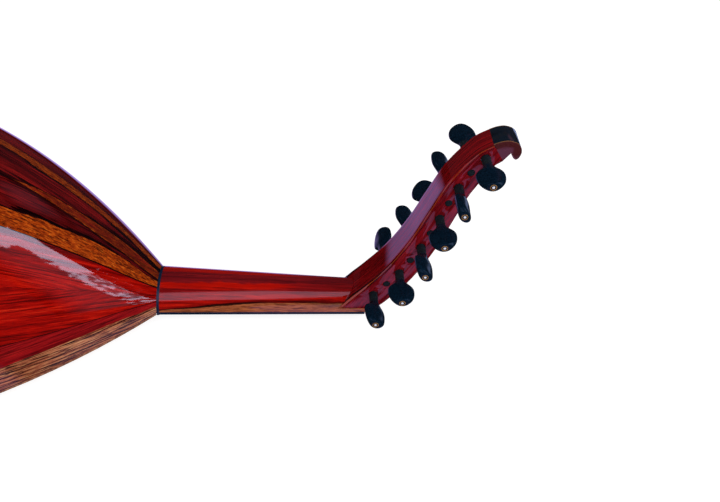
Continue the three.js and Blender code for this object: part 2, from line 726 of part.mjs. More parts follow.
function addPeg(peg, number) {
  const side = peg.near ? -1 : 1;
  const wall = halfAcross(peg.x, peg.z);
  const headStart = wall + (peg.near ? bassPegNeckLength : treblePegNeckLength);
  const stations = [
    [-wall - pegTipProud, pegTipRadius, pegTipRadius],
    [wall - wallThickness, pegShankRadius, pegShankRadius],
    [headStart - pegShankRadius, pegShankRadius, pegShankRadius],
    ...headShares.map(([along, wide, thick]) => [
      headStart + along * pegHeadLength, (wide * pegHeadWidth) / 2, (thick * pegHeadThickness) / 2,
    ]),
  ];
  const turn = degrees(headTurns[number]);
  const rings = stations.map(([out, wide, thick]) => steps(pegSides).slice(1).map((step) => {
    const angle = step * Math.PI * 2;
    const [u, v] = [wide * Math.cos(angle), thick * Math.sin(angle)];
    return new THREE.Vector3(
      peg.x + u * Math.cos(turn) + v * Math.sin(turn), side * out, peg.z - u * Math.sin(turn) + v * Math.cos(turn),
    );
  }));
  addPiece(pegNames[number], loft(rings), 'ebony');
}

// String routes: bridge hole, nut slot, then over the shanks to the string's own peg

// The outermost strings go to the pegs nearest the nut, so no string crosses another.
const pegOfString = stringRadii.map((_, number) => (number < 6 ? number * 2 : (stringCount - number) * 2 - 1));

// The taut line over a row of points that all lie behind it.
function tautLine(points) {
  const line = [];
  points.forEach((p) => {
    while (line.length > 1) {
      const [q, r] = line.slice(-2);
      if ((r.x - q.x) * (p.y - q.y) - (r.y - q.y) * (p.x - q.x) > 0) break;
      line.pop();
    }
    line.push(p);
  });
  return line;
}

function stringRoute(number) {
  const radius = stringRadii[number];
  const peg = pegs[pegOfString[number]];
  const slotZ = -nutProud + nutSlotDepth - seatGap - radius;
  const nutY = nutLaneY(number);
  const bridgeY = bridgeLaneY(number);
  const behindNut = new THREE.Vector2(neckLength + radius + seatGap * 2, slotZ);
  const over = pegs.slice(0, pegOfString[number] + 1)
    .map(({ share }) => besidePegLine(share, pegShankRadius + radius + seatGap * 1.3));
  const taut = tautLine([behindNut, ...over]);
  const innerHalf = halfAcross(peg.x, peg.z) - wallThickness;
  const laneAtPeg = nutY * Math.min(1, innerHalf / (neckNutWidth / 2 - wallThickness));
  const fall = (p) => (p.x - behindNut.x) / (taut[taut.length - 1].x - behindNut.x);
  return [
    new THREE.Vector3(bridgeX - bridgeWidth - seatGap - knotLength, bridgeY, -bridgeStringHeight),
    new THREE.Vector3(bridgeX - bridgeWidth - seatGap, bridgeY, -bridgeStringHeight),
    new THREE.Vector3(bridgeX, bridgeY, -bridgeStringHeight),
    new THREE.Vector3(neckLength - nutThickness, nutY, slotZ),
    ...taut.map((p) => new THREE.Vector3(p.x, lerp(nutY, laneAtPeg, fall(p)), p.y)),
  ];
}

// A round string along a route, with its knot on the first stretch.
function addString(number) {
  const route = stringRoute(number);
  const radius = stringRadii[number];
  const rings = route.flatMap((point, i) => {
    const before = point.clone().sub(route[Math.max(i - 1, 0)]).normalize();
    const after = route[Math.min(i + 1, route.length - 1)].clone().sub(point).normalize();
    const tangent = before.add(after).normalize();
    const side = new THREE.Vector3(0, 1, 0).addScaledVector(tangent, -tangent.y).normalize();
    const up = tangent.clone().cross(side);
    const ring = (size) => steps(stringSides).slice(1).map((step) => point.clone()
      .addScaledVector(side, size * Math.cos(step * Math.PI * 2))
      .addScaledVector(up, size * Math.sin(step * Math.PI * 2)));
    if (i === 0) return [ring(knotRadius)];
    return i === 1 ? [ring(knotRadius), ring(radius)] : [ring(radius)];
  });
  addPiece(`string_${number + 1}`, loft(rings), number < 5 ? 'woundString' : 'string');
}

addStaves();
addClasp();
addBlock('neck_block', (fromNeck) => fromNeck < neckBlockLength);
addBlock('tail_block', (fromNeck) => fromNeck > bodyLength - tailBlockDepth);
addSoundboard();
soundHoles.forEach(addRosette);
addPickguard();
bracePlaceShares.forEach((share, i) => addBrace(i + 1, share * bodyLength));
addNeck();
addNut();
addBridge();
addPegbox();
addFinial();
pegs.forEach(addPeg);
stringRadii.forEach((_, number) => addString(number));

// The origin is under the middle of the whole, on the plane that it rests on.
const box = new THREE.Box3().setFromObject(oud);
const middle = box.getCenter(new THREE.Vector3());
oud.position.set(-middle.x, -middle.y, -box.min.z);
oud.name = 'oud';

export default oud;
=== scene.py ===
import bisect
import json
import math

import bpy
from mathutils import Matrix, Quaternion, Vector


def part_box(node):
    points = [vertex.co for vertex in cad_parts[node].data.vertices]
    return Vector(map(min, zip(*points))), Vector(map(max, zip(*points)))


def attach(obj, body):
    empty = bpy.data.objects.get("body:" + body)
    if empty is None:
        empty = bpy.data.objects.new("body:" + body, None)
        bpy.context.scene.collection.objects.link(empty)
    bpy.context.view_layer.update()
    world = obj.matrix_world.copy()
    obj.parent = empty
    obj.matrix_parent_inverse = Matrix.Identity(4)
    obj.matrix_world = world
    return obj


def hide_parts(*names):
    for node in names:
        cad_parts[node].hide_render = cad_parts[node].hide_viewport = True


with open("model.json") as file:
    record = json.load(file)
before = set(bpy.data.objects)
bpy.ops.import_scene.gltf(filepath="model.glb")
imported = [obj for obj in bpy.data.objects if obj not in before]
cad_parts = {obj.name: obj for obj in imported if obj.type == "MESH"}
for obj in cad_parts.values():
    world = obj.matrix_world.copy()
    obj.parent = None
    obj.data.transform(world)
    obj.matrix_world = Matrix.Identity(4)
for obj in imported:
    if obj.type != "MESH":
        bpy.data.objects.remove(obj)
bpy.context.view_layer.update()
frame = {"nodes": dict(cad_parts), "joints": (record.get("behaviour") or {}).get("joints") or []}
nodes = frame["nodes"]
rootBody = "instrument"
mm = 0.001
gap = 0.3  # millimetres between two solids that touch

# The joint of neck and body and the soundboard's face, from the solids
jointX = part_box("neck_ring")[0].x - gap * mm
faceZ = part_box("soundboard")[0].z


# Camera and light

# Where things look from: degrees round from the instrument's near side and above the level, and their lean
cameraPlace = {"place": (0.2181, -0.5544, 0.5609), "lens": 39.38, "round": -6.15, "high": 41.0, "lean": 6.35}


# The way out to there, and the turn of what looks back along it
def facing(settings):
    roundAngle, high = math.radians(settings["round"]), math.radians(settings["high"])
    away = Vector((
        math.sin(roundAngle) * math.cos(high), -math.cos(roundAngle) * math.cos(high), math.sin(high)
    ))
    lean = Quaternion((0, 0, 1), math.radians(settings.get("lean", 0)))
    return away, away.to_track_quat("Z", "Y") @ lean


def addCamera(settings):
    camera = bpy.data.objects.new("camera", bpy.data.cameras.new("camera"))
    bpy.context.scene.collection.objects.link(camera)
    camera.data.lens = settings["lens"]
    turn = facing(settings)[1].to_matrix().to_4x4()
    camera.matrix_world = Matrix.Translation(settings["place"]) @ turn
    bpy.context.scene.camera = camera


def linear(hexText):
    shares = [int(hexText[i:i + 2], 16) / 255 for i in (1, 3, 5)]
    return [s / 12.92 if s <= 0.04045 else ((s + 0.055) / 1.055) ** 2.4 for s in shares] + [1.0]


# Adds a node. A setting is a value or another node's output; stops are the places of a ramp with their
# colours or levels of grey
def addNode(tree, kind, settings):
    node = tree.nodes.new("ShaderNode" + kind)
    for name, value in settings.items():
        if name == "stops":
            for number, (place, colour) in enumerate(value.items()):
                elements = node.color_ramp.elements
                element = elements[number] if number < 2 else elements.new(place)
                element.position = place
                element.color = linear(colour) if isinstance(colour, str) else (*[colour] * 3, 1)
        elif isinstance(value, bpy.types.NodeSocket):
            tree.links.new(value, node.inputs[name])
        elif isinstance(name, int) or name in node.inputs:
            node.inputs[name].default_value = value
        else:
            setattr(node, name, value)
    return node.outputs


# Settings that many nodes share
smooth = {"interpolation_type": "SMOOTHSTEP"}
inColour = {"data_type": "RGBA"}


def newMaterial(name):
    material = bpy.data.materials.new(name)
    material.use_nodes = True
    material.node_tree.nodes.clear()
    return material, material.node_tree


# Lamps and panes stand round the middle of the instrument, and some are moved aside
around = {"middle": (0.05, 0, 0.1), "distance": 2.0}


def lookingIn(settings):
    away, turn = facing(settings)
    aside = turn @ Vector((settings.get("aside", 0), 0, 0))
    return Vector(around["middle"]) + away * around["distance"] + aside, turn.to_euler()


# Daylight of the two windows on the wood
lamps = {
    "tallWindowLight": {"round": 78.5, "high": 22, "size": (1.03, 2.1), "light": 1.9, "tone": "#f4f0ff"},
    "skyWindowLight": {"round": 0, "high": 40.5, "size": (3.4, 1.74), "light": 1.0, "tone": "#fbf8ff"},
}


def addLamp(name, settings):
    width, height = settings["size"]
    lamp = bpy.data.lights.new(name, "AREA")
    lamp.shape = "RECTANGLE"
    lamp.size, lamp.size_y = width, height
    lamp.energy = settings["light"] * math.pi * width * height
    lamp.color = linear(settings["tone"])[:3]
    light = bpy.data.objects.new(name, lamp)
    bpy.context.scene.collection.objects.link(light)
    light.location, light.rotation_euler = lookingIn(settings)
    light.visible_camera = False
    light.visible_glossy = False


# What the lacquer mirrors: the same windows, one through leaves, and the pale ground lit lavender.
# A fade is an axis of the pane and the two places, in metres, that it brightens between, and a border is the
# same at both its ends. Leaves are their size, the light they leave, and slopes that thicken or thin them
panes = {
    "tallWindow": {
        "round": 78.5, "high": 22, "lean": -14, "aside": -0.185, "size": (1.03, 2.4), "glow": 7.2,
        "tint": "#dde2ff", "fades": [("X", -0.5, 0.0)],
        "leaves": [
            (0.1, 0.05, [
                ("X", 0.09, 0.3, -0.26, 0.3), ("Y", 0.68, 0.85, 0, 0.5), ("Y", -0.9, -0.3, -0.25, 0)]),
            (0.1, 0.12, [("X", 0.08, 0.3, 0.35, -0.02), ("Y", 0.0, 0.25, 0, 0.4)]),
        ],
    },
    "skyWindow": {
        "round": 0, "high": 40.5, "size": (3.4, 2.04), "glow": 1.75, "tint": "#e9e0ff",
        "fades": [("Y", -1.0, -0.68), ("Y", 0.76, 0.4)],
    },
    "farPaper": {
        "round": -160, "high": -32, "lean": 18, "size": (2.6, 1.5), "glow": 1.05, "tint": "#c4a9ff",
        "fades": [("Y", 0.541, 0.375)],
    },
    "nearPaper": {
        "round": 18, "high": -38, "size": (1.1, 1.7), "glow": 1.2, "tint": "#f0a8f0",
        "borders": [("X", 0.55, 0.36), ("Y", 0.83, 0.5)], "leaves": [(0.4, 0.7, [])],
    },
    "paperBelow": {"round": 130, "high": -68, "size": (1.5, 1.5), "glow": 0.6, "tint": "#a8c4ff"},
    "sidePaper": {
        "round": 64, "high": -40, "size": (1.4, 0.9), "glow": 0.55, "tint": "#d4c0ff",
        "fades": [("X", -0.7, -0.2), ("X", 0.7, 0.4)], "borders": [("Y", 0.45, 0.2)],
    },
    "cornerPaper": {
        "round": 137, "high": -13, "size": (0.9, 0.55), "glow": 1.2, "tint": "#b4c8ff",
        "borders": [("X", 0.45, 0.2), ("Y", 0.27, 0.1)],
    },
    "dimWall": {
        "round": 139, "high": 37, "size": (0.8, 0.7), "glow": 0.36, "tint": "#ffa8cc",
        "borders": [("X", 0.4, 0.1), ("Y", 0.35, 0.05)],
    },
}
leafNoise = {"Detail": 6.0, "Roughness": 0.62, "Distortion": 0.4}
leafEdge = (0.46, 0.6)  # the noise from where leaves hide the light to where none are


def addPane(name, settings):
    pane = startWith(bpy.ops.mesh.primitive_plane_add, size=1)
    pane.name = name
    pane.scale = (*settings["size"], 1)
    bpy.ops.object.transform_apply(location=False, rotation=False, scale=True)
    pane.location, pane.rotation_euler = lookingIn(settings)
    for ray in ("camera", "diffuse", "transmission", "volume_scatter", "shadow"):
        setattr(pane, f"visible_{ray}", False)
    material, tree = newMaterial(name + "Glow")
    spot = addNode(tree, "TexCoord", {})["Object"]
    parts = addNode(tree, "SeparateXYZ", {0: spot})
    fades = settings.get("fades", []) + [
        (axis, end * start, end * full)
        for axis, start, full in settings.get("borders", []) for end in (-1, 1)
    ]
    shares = [
        addNode(tree, "MapRange", {**smooth, "Value": parts[axis], "From Min": start, "From Max": full})
        for axis, start, full in fades
    ]
    for leaf, dim, slopes in settings.get("leaves", []):
        twigs = addNode(tree, "TexNoise", {"Vector": spot, "Scale": 1 / leaf, **leafNoise})
        for axis, start, end, first, last in slopes:
            slope = addNode(tree, "MapRange", {
                "Value": parts[axis], "From Min": start, "From Max": end, "To Min": first, "To Max": last})
            twigs = addNode(tree, "Math", {"operation": "ADD", 0: twigs[0], 1: slope[0]})
        shares.append(addNode(tree, "MapRange", {
            **smooth, "Value": twigs[0], "From Min": leafEdge[0], "From Max": leafEdge[1], "To Min": dim}))
    strength = settings["glow"]
    for share in shares:
        strength = addNode(tree, "Math", {"operation": "MULTIPLY", 0: strength, 1: share[0]})[0]
    glow = addNode(tree, "Emission", {"Color": linear(settings["tint"]), "Strength": strength})
    addNode(tree, "OutputMaterial", {"Surface": glow[0]})
    pane.data.materials.append(material)


# The plain light of the room, the dimmer room that the lacquer mirrors, and the white behind it
room = {"ambient": ("#fffaf6", 0.62), "mirrored": ("#e6dcff", 0.03), "behind": ("#ffffff", 1.0)}


def addRoom(settings):
    world = bpy.data.worlds.new("studio")
    bpy.context.scene.world = world
    world.use_nodes = True
    tree = world.node_tree
    tree.nodes.clear()
    path = addNode(tree, "LightPath", {})
    ambient, mirrored, behind = (
        addNode(tree, "Background", {"Color": linear(tone), "Strength": strength})[0]
        for tone, strength in (settings[name] for name in ("ambient", "mirrored", "behind"))
    )
    lit = addNode(tree, "MixShader", {0: path["Is Glossy Ray"], 1: ambient, 2: mirrored})[0]
    seen = addNode(tree, "MixShader", {0: path["Is Camera Ray"], 1: lit, 2: behind})[0]
    addNode(tree, "OutputWorld", {"Surface": seen})


# White floor that keeps a faint shadow; panes of its own stand for it in the gloss
floor = {"size": 8.0, "glow": 0.86, "shadowTone": 0.3, "bounce": 0.7}


def addFloor(settings):
    sheet = startWith(bpy.ops.mesh.primitive_plane_add, size=settings["size"])
    sheet.name = "paperFloor"
    sheet.visible_glossy = False
    material, tree = newMaterial("whitePaper")
    path = addNode(tree, "LightPath", {})
    glow = addNode(tree, "Emission", {"Color": (1, 1, 1, 1), "Strength": settings["glow"]})
    shade, pale = (
        addNode(tree, "BsdfDiffuse", {"Color": (*[settings[name]] * 3, 1)})[0]
        for name in ("shadowTone", "bounce")
    )
    lit = addNode(tree, "AddShader", {0: glow[0], 1: shade})
    whole = addNode(tree, "MixShader", {0: path["Is Camera Ray"], 1: pale, 2: lit[0]})
    addNode(tree, "OutputMaterial", {"Surface": whole[0]})
    sheet.data.materials.append(material)


# Finishes

# Noise drawn out along the first coordinate of a vector in millimetres; its size is given along and across
def addStreaks(tree, vector, size, detail=5.0, wander=0.3):
    along, across = size
    drawn = addNode(tree, "Mapping", {"Vector": vector, "Scale": (1 / along, 1 / across, 1 / across)})
    return addNode(tree, "TexNoise", {
        "Vector": drawn[0], "Scale": 1.0, "Detail": detail, "Roughness": 0.62, "Distortion": wander})[0]


# The same noise brought between two values, which it reaches as far from its ends as the margin says
def addDrift(tree, vector, size, detail, wander, margin, least, most):
    return addNode(tree, "MapRange", {
        "Value": addStreaks(tree, vector, size, detail, wander), "From Min": margin, "From Max": 1 - margin,
        "To Min": least, "To Max": most})[0]


veinSoft = 0.07  # how much of the noise a vein's edge takes
grainNoise = {"fibre": (3.0, 0.0), "broad": (2.0, 0.0, 0.3), "vein": (4.0, 0.5)}  # detail, wander, margin


# Wood with long streaks and short fibres, sized along and across and with the fibres' share of the pattern.
# Where given, it has broad changes of tone, sized and with their change, and thin dark veins, sized and with
# the noise at their edge, their strength and their colour
def addGrain(tree, vector, look):
    streak = addStreaks(tree, vector, look["streak"], wander=look.get("wander", 0.35))
    *fibreSize, fibreShare = look["fibre"]
    fibre = addStreaks(tree, vector, fibreSize, *grainNoise["fibre"])
    mixed = addNode(tree, "Mix", {"data_type": "FLOAT", 0: fibreShare, 2: streak, 3: fibre})[0]
    if "broad" in look:
        length, width, change = look["broad"]
        slow = addDrift(tree, vector, (length, width), *grainNoise["broad"], -change / 2, change / 2)
        mixed = addNode(tree, "Math", {"operation": "ADD", 0: mixed, 1: slow})[0]
    colour = addNode(tree, "ValToRGB", {0: mixed, "stops": look["colours"]})[0]
    if "vein" in look:
        length, width, edge, strength, tone = look["vein"]
        share = addNode(tree, "MapRange", {
            **smooth, "Value": addStreaks(tree, vector, (length, width), *grainNoise["vein"]),
            "From Min": edge, "From Max": edge + veinSoft, "To Min": strength, "To Max": 0.0})[0]
        colour = addNode(tree, "Mix", {**inColour, 0: share, 6: colour, 7: linear(tone)})[2]
    return colour, fibre


# Lays colours over one, each inside some edges, with its softness in millimetres and its strength. An edge is
# a distance in millimetres that is positive inside, or a value with the factor and shift that make it one
def layInside(tree, colour, layers):
    for over, edges, soft, strength in layers:
        least = None
        for edge in edges:
            if isinstance(edge, tuple):
                edge = addNode(tree, "Math", {"operation": "MULTIPLY_ADD", **dict(enumerate(edge))})[0]
            least = edge if least is None else addNode(tree, "Math", {
                "operation": "MINIMUM", 0: least, 1: edge})[0]
        share = addNode(tree, "MapRange", {
            **smooth, "Value": least, "From Min": -soft, "From Max": soft, "To Max": strength})[0]
        colour = addNode(tree, "Mix", {
            **inColour, 0: share, 6: colour, 7: linear(over) if isinstance(over, str) else over})[2]
    return colour


fibreDepth = 0.2  # millimetres that the fibres stand up in the bump


def finishWood(tree, colour, fibre, look):
    bump = addNode(tree, "Bump", {"Strength": look["bump"], "Distance": fibreDepth * mm, "Height": fibre})
    shader = addNode(tree, "BsdfPrincipled", {"Base Color": colour, "Normal": bump[0], **look["shine"]})
    addNode(tree, "OutputMaterial", {"Surface": shader[0]})


def readParts(tree, name):
    value = addNode(tree, "Attribute", {"attribute_name": name})
    return addNode(tree, "SeparateXYZ", {0: value["Vector"]})


# Sprayed and buffed lacquer, deep and bright as a mirror, and wood that is only oiled and shines dully
lacquer = {"bump": 0.12, "shine": {
    "Roughness": 0.5, "Specular IOR Level": 0.0, "Coat Weight": 1.0, "Coat Roughness": 0.035}}
oiled = {"bump": 0.3, "shine": {"Roughness": 0.5, "Specular IOR Level": 0.35}}

# Cocobolo heartwood under lacquer: deep red with black veins, bordered by golden and tan sapwood
bowlWood = {
    "bright": {
        "streak": (100, 3.6), "fibre": (14, 0.8, 0.42), "vein": (100, 1.6, 0.385, 0.65, "#300203"),
        "broad": (150, 14, 0.1),
        "colours": {0.34: "#420303", 0.43: "#760503", 0.5: "#940803", 0.58: "#b01207", 0.68: "#cc2a12"},
    },
    "dark": {
        "streak": (110, 4.5), "fibre": (16, 1.0, 0.4), "vein": (90, 2.0, 0.4, 0.75, "#0c0204"),
        "broad": (70, 12, 0.14),
        "colours": {0.34: "#1e0406", 0.43: "#44080a", 0.52: "#620a0c", 0.62: "#8a1614"},
    },
    "crimson": {
        "streak": (110, 3.6), "fibre": (14, 0.8, 0.42), "vein": (100, 1.8, 0.4, 0.7, "#1e0306"),
        "colours": {0.34: "#3c040a", 0.43: "#72090f", 0.52: "#961216", 0.62: "#b01c1c"},
    },
    "gold": {
        "streak": (8, 1.7), "fibre": (4.5, 1.1, 0.5), "vein": (9, 1.3, 0.4, 0.75, "#200903"),
        "colours": {0.36: "#3a0e03", 0.45: "#7c2705", 0.53: "#a63f09", 0.6: "#c05612", 0.7: "#d88428"},
    },
    "tan": {
        "streak": (26, 1.5), "fibre": (9, 0.8, 0.45), "vein": (30, 1.4, 0.45, 0.9, "#150a0c"),
        "broad": (60, 9, 0.1),
        "colours": {0.34: "#34130e", 0.44: "#7c3c29", 0.53: "#ae6845", 0.62: "#c89060", 0.72: "#dcb488"},
    },
    "oldGold": "#2e0e05", "oldShare": 0.3,
    "goldRim": 0.85,  # the middle strip's golden edges, with dark wood between them
    # Softness and strength with which each colour is laid over the others
    "laid": {
        "darkBand": (0.9, 0.9), "crimson": (0.5, 0.8), "line": (0.5, 0.95), "middleLines": (0.7, 0.85),
        "gold": (0.3, 1), "middleGold": (0.4, 1), "middleWood": (0.4, 0.62), "tan": (0.3, 1),
    },
    "footLine": 0.8,  # how far the black line reaches beyond the foot of the golden wood
    "ink": "#060102",
    # Size, detail, wander, margin, and how far the edges stray or the black borders thin and thicken
    "stray": ((24, 7), 4.0, 0.0, 0.25, -1.5, 1.5), "ragged": ((60, 2.4), 5.0, 0.3, 0.38, 0.35, 1.25),
    "strayShares": (0.35, 1.0, 0.35, 0.35),  # of the tan edge, the golden edge and the middle strip's two
    # Half width, softness and strength, from the rim up
    "glueLines": [(0.4, 0.25, 0.85), (0.3, 0.25, 0.3), (0.55, 0.25, 0.95)],
}


def makeBowlWood(look):
    material, tree = newMaterial("lacqueredCocobolo")
    grain = addNode(tree, "Attribute", {"attribute_name": "grain"})["Vector"]
    seams, sapwood, centre, borders, tones = (
        readParts(tree, name) for name in ("seams", "sapwood", "centre", "borders", "tones")
    )
    wood = {}
    for name in ("bright", "dark", "crimson", "gold", "tan"):
        wood[name], fibre = addGrain(tree, grain, look[name])
    ink, gold, laid = look["ink"], wood["gold"], look["laid"]
    old = addNode(tree, "Math", {"operation": "MULTIPLY", 0: tones[1], 1: look["oldShare"]})[0]
    gold = addNode(tree, "Mix", {**inColour, 0: old, 6: gold, 7: linear(look["oldGold"])})[2]

    # The edges of the coloured wood stray a little from smooth lines
    stray, ragged = (addDrift(tree, grain, *look[name]) for name in ("stray", "ragged"))
    tanEdge, goldEdge, centreLow, centreHigh = (
        addNode(tree, "Math", {"operation": "MULTIPLY_ADD", 0: stray, 1: share, 2: edge})[0]
        for share, edge in zip(look["strayShares"], (sapwood[0], sapwood[1], centre[0], centre[1]))
    )
    colour = addNode(tree, "Mix", {
        **inColour, 0: tones[0], 6: wood["bright"], 7: wood["dark"]})[2]
    colour = layInside(tree, colour, [
        (wood["dark"], [sapwood[2]], *laid["darkBand"]),
        (wood["crimson"], [(seams[0], -1, 0)], *laid["crimson"]),
    ])
    # Painted shade: the darkest staves darkened towards the neck
    colour = addNode(tree, "Mix", {**inColour, 0: tones[2], 6: colour, 7: linear(ink)})[2]
    rim = look["goldRim"]
    colour = layInside(tree, colour, [
        (ink, [(borders[0], ragged, goldEdge), (centre[2], 1, look["footLine"])], *laid["line"]),
        (ink, [(borders[1], ragged, centreLow), (borders[2], ragged, centreHigh)], *laid["middleLines"]),
        (gold, [goldEdge, centre[2]], *laid["gold"]),
        (gold, [centreLow, centreHigh], *laid["middleGold"]),
        (wood["dark"], [(centreLow, 1, -rim), (centreHigh, 1, -rim)], *laid["middleWood"]),
        (wood["tan"], [tanEdge], *laid["tan"]),
    ])

    # Dark glue lines along the seams
    for seam, (half, *glueLaid) in enumerate(look["glueLines"]):
        off = addNode(tree, "Math", {"operation": "ABSOLUTE", 0: seams[seam]})[0]
        colour = layInside(tree, colour, [(ink, [(off, -1, half)], *glueLaid)])
    finishWood(tree, colour, fibre, lacquer)
    return material


# Places in millimetres from a centre, turned so that the grain runs along the first of them
def millimetres(tree, look):
    place = addNode(tree, "TexCoord", {})["Object"]
    return addNode(tree, "Mapping", {
        "Vector": place, "vector_type": "TEXTURE", "Location": look.get("centre", (0, 0, 0)),
        "Rotation": (0, math.radians(look.get("rise", 0)), math.radians(look.get("turn", 0))),
        "Scale": (mm, mm, mm)})[0]


def makeWood(name, look, finish):
    material, tree = newMaterial(name)
    vector = millimetres(tree, look)
    colour, fibre = addGrain(tree, vector, look)
    if "sides" in look:
        half, tone, *laid = look["sides"]
        wide, lineTone, *lineLaid = look["sideLine"]
        across = addNode(tree, "SeparateXYZ", {0: vector})["Y"]
        off = addNode(tree, "Math", {"operation": "ABSOLUTE", 0: across})[0]
        colour = layInside(tree, colour, [
            (tone, [(off, 1, -half)], *laid),
            (lineTone, [(off, -1, half), (off, 1, wide - half)], *lineLaid),
        ])
    finishWood(tree, colour, fibre, finish)
    return material


# Neck of the same wood: a bright streak below its back, and sapwood left as a tan strip at the fingerboard
neckWood = {
    "redwood": {
        "streak": (120, 3.4), "fibre": (18, 0.9, 0.36), "vein": (110, 2.0, 0.4, 0.5, "#1c0203"),
        "colours": {0.34: "#560504", 0.43: "#8a0a06", 0.5: "#a20e06", 0.58: "#b81408", 0.68: "#cc220c"},
    },
    "back": {
        "streak": (140, 3.0), "fibre": (18, 0.9, 0.3), "vein": (110, 1.8, 0.41, 0.6, "#180308"),
        "colours": {0.36: "#400810", 0.48: "#641017", 0.58: "#7c141a", 0.68: "#961c1c"},
    },
    "streak": {
        "streak": (60, 1.1), "fibre": (20, 0.6, 0.3), "wander": 0.1,
        "colours": {0.34: "#8c0803", 0.45: "#a80c02", 0.55: "#bc1202", 0.68: "#d42206"},
    },
    "tan": {
        "streak": (26, 1.5), "fibre": (9, 0.8, 0.45), "vein": (20, 1.1, 0.41, 0.6, "#3a160c"),
        "colours": {0.34: "#66301c", 0.44: "#8e4a2c", 0.53: "#a85c36", 0.62: "#bc6e42", 0.72: "#d08e5c"},
    },
    "paintedShadeOverTan": (1.8, 1.2, 0.55),  # how far painted shade reaches above the tan, softness, strength
    "tanLaid": (0.3, 1),  # softness, strength
    # Distance from the joint, height of the tan strip, and half the thickness of the black line over it
    "tanLine": [
        (0, 4.6, 0.3), (8, 6.0, 0.35), (14, 7.0, 0.4), (31, 8.5, 0.7), (50, 10.5, 1.0), (62, 11.8, 1.1),
        (82, 13.0, 0.9), (106, 13.6, 0.3), (135, 13.4, 0.05), (164, 12.9, 0.1), (203, 12.6, 0.1),
    ],
    "stray": ((22, 5), 3.0, 0.0, 0.25, -0.6, 0.6),  # as on the back
    # Lowest, highest, where it ends, how steeply it fades there, softness, strength
    "streakBand": (23.5, 25.3, 125, 0.02, 0.35, 0.85),
    # Lowest, highest, where it starts, how steeply, softness, strength
    "darkBands": [(19.8, 22.5, -60, 0.03, 0.7, 0.6), (21.8, 25.6, 108, 0.03, 0.7, 0.65)],
    "backBand": (25.2, 5.0, 0.5, 0.9),  # lowest, how far on to the far side, softness, strength
    # Colour, how far below the line, where it starts, how steeply, softness, strength
    "olive": ("#34362a", 3.8, 160, 0.05, 1.2, 0.6),
    "ink": "#0a0203", "inkLine": (0.35, 0.92),
}


def makeNeckWood(look):
    material, tree = newMaterial("lacqueredNeckWood")
    vector = millimetres(tree, {"centre": (jointX, 0, faceZ)})
    along, across, up = addNode(tree, "SeparateXYZ", {0: vector})
    wood = {}
    for name in ("redwood", "back", "streak", "tan"):
        wood[name], fibre = addGrain(tree, vector, look[name])
    stray = addDrift(tree, vector, *look["stray"])
    height = addNode(tree, "Math", {"operation": "ADD", 0: up, 1: stray})[0]

    # The height and thickness of the line are read from a grey ramp each
    length = look["tanLine"][-1][0]
    share = addNode(tree, "MapRange", {"Value": along, "From Max": length})[0]
    levels = []
    for column in (1, 2):
        top = max(row[column] for row in look["tanLine"])
        level = addNode(tree, "ValToRGB", {
            0: share, "stops": {row[0] / length: row[column] / top for row in look["tanLine"]}})
        levels.append(addNode(tree, "Math", {"operation": "MULTIPLY", 0: level[0], 1: top})[0])
    tanTop, lineHalf = levels
    under = addNode(tree, "Math", {"operation": "SUBTRACT", 0: tanTop, 1: height})[0]
    off = addNode(tree, "Math", {"operation": "ABSOLUTE", 0: under})[0]

    low, high, end, steep, *streakLaid = look["streakBand"]
    backLow, backFar, *backLaid = look["backBand"]
    reach, *shadeOverTanLaid = look["paintedShadeOverTan"]
    olive, depth, start, oliveSteep, *oliveLaid = look["olive"]
    colour = layInside(tree, wood["redwood"], [
        (wood["back"], [(height, 1, -least), (height, -1, most), (along, rate, -first * rate)], *laid)
        for least, most, first, rate, *laid in look["darkBands"]
    ] + [
        (wood["back"], [(height, 1, -backLow), (across, -1, backFar)], *backLaid),
        (wood["streak"], [(height, 1, -low), (height, -1, high), (along, -steep, end * steep)], *streakLaid),
        # Painted shade: ink laid over the wood just above the tan strip
        (look["ink"], [(under, 1, reach)], *shadeOverTanLaid),
        (wood["tan"], [under], *look["tanLaid"]),
        (olive, [under, (under, -1, depth), (along, oliveSteep, -start * oliveSteep)], *oliveLaid),
        (look["ink"], [(off, -1, lineHalf)], *look["inkLine"]),
    ])
    finishWood(tree, colour, fibre, lacquer)
    return material


# Back of the pegbox: a bent plate of red wood whose edge shows a tan line between two black ones
plateWood = {
    "wood": {
        "streak": (90, 2.4), "fibre": (14, 0.8, 0.36), "vein": (60, 1.6, 0.42, 0.6, "#160305"),
        "colours": {0.34: "#44060a", 0.44: "#620a0e", 0.52: "#760b10", 0.6: "#8a0f12", 0.7: "#9c1616"},
    },
    "tanLine": ("#8f3a18", 1.0, 1.7, 0.2, 1),  # colour, least and most depth, softness, strength
    "blackLine": ("#070203", -0.1, 2.5, 0.25, 0.9), "blackEnds": (80, 0.02),  # where, and how steeply
    # Where the lines widen to a wedge at the foot: how much further the black, the tan and its end reach
    "wedgeRun": (14, 50), "wedge": (3.2, 0.8, -1.6),
}


def makePlateWood(look):
    material, tree = newMaterial("lacqueredPegboxBack")
    grain = addNode(tree, "Attribute", {"attribute_name": "grain"})["Vector"]
    run, depth, _ = readParts(tree, "plateEdge")
    colour, fibre = addGrain(tree, grain, look["wood"])
    first, last = look["wedgeRun"]
    foot = addNode(tree, "MapRange", {
        "Value": run, "From Min": first, "From Max": last, "To Min": 1.0, "To Max": 0.0})[0]
    blackTop, tanTop, tanEnd = (
        addNode(tree, "Math", {"operation": "MULTIPLY_ADD", 0: foot, 1: more, 2: depth})[0]
        for more in look["wedge"]
    )
    black, blackLow, blackHigh, *blackLaid = look["blackLine"]
    tan, tanLow, tanHigh, *tanLaid = look["tanLine"]
    end, steep = look["blackEnds"]
    colour = layInside(tree, colour, [
        (black, [(blackTop, 1, -blackLow), (tanEnd, -1, blackHigh), (run, -steep, end * steep)], *blackLaid),
        (tan, [(tanTop, 1, -tanLow), (tanEnd, -1, tanHigh)], *tanLaid),
    ])
    finishWood(tree, colour, fibre, lacquer)
    return material


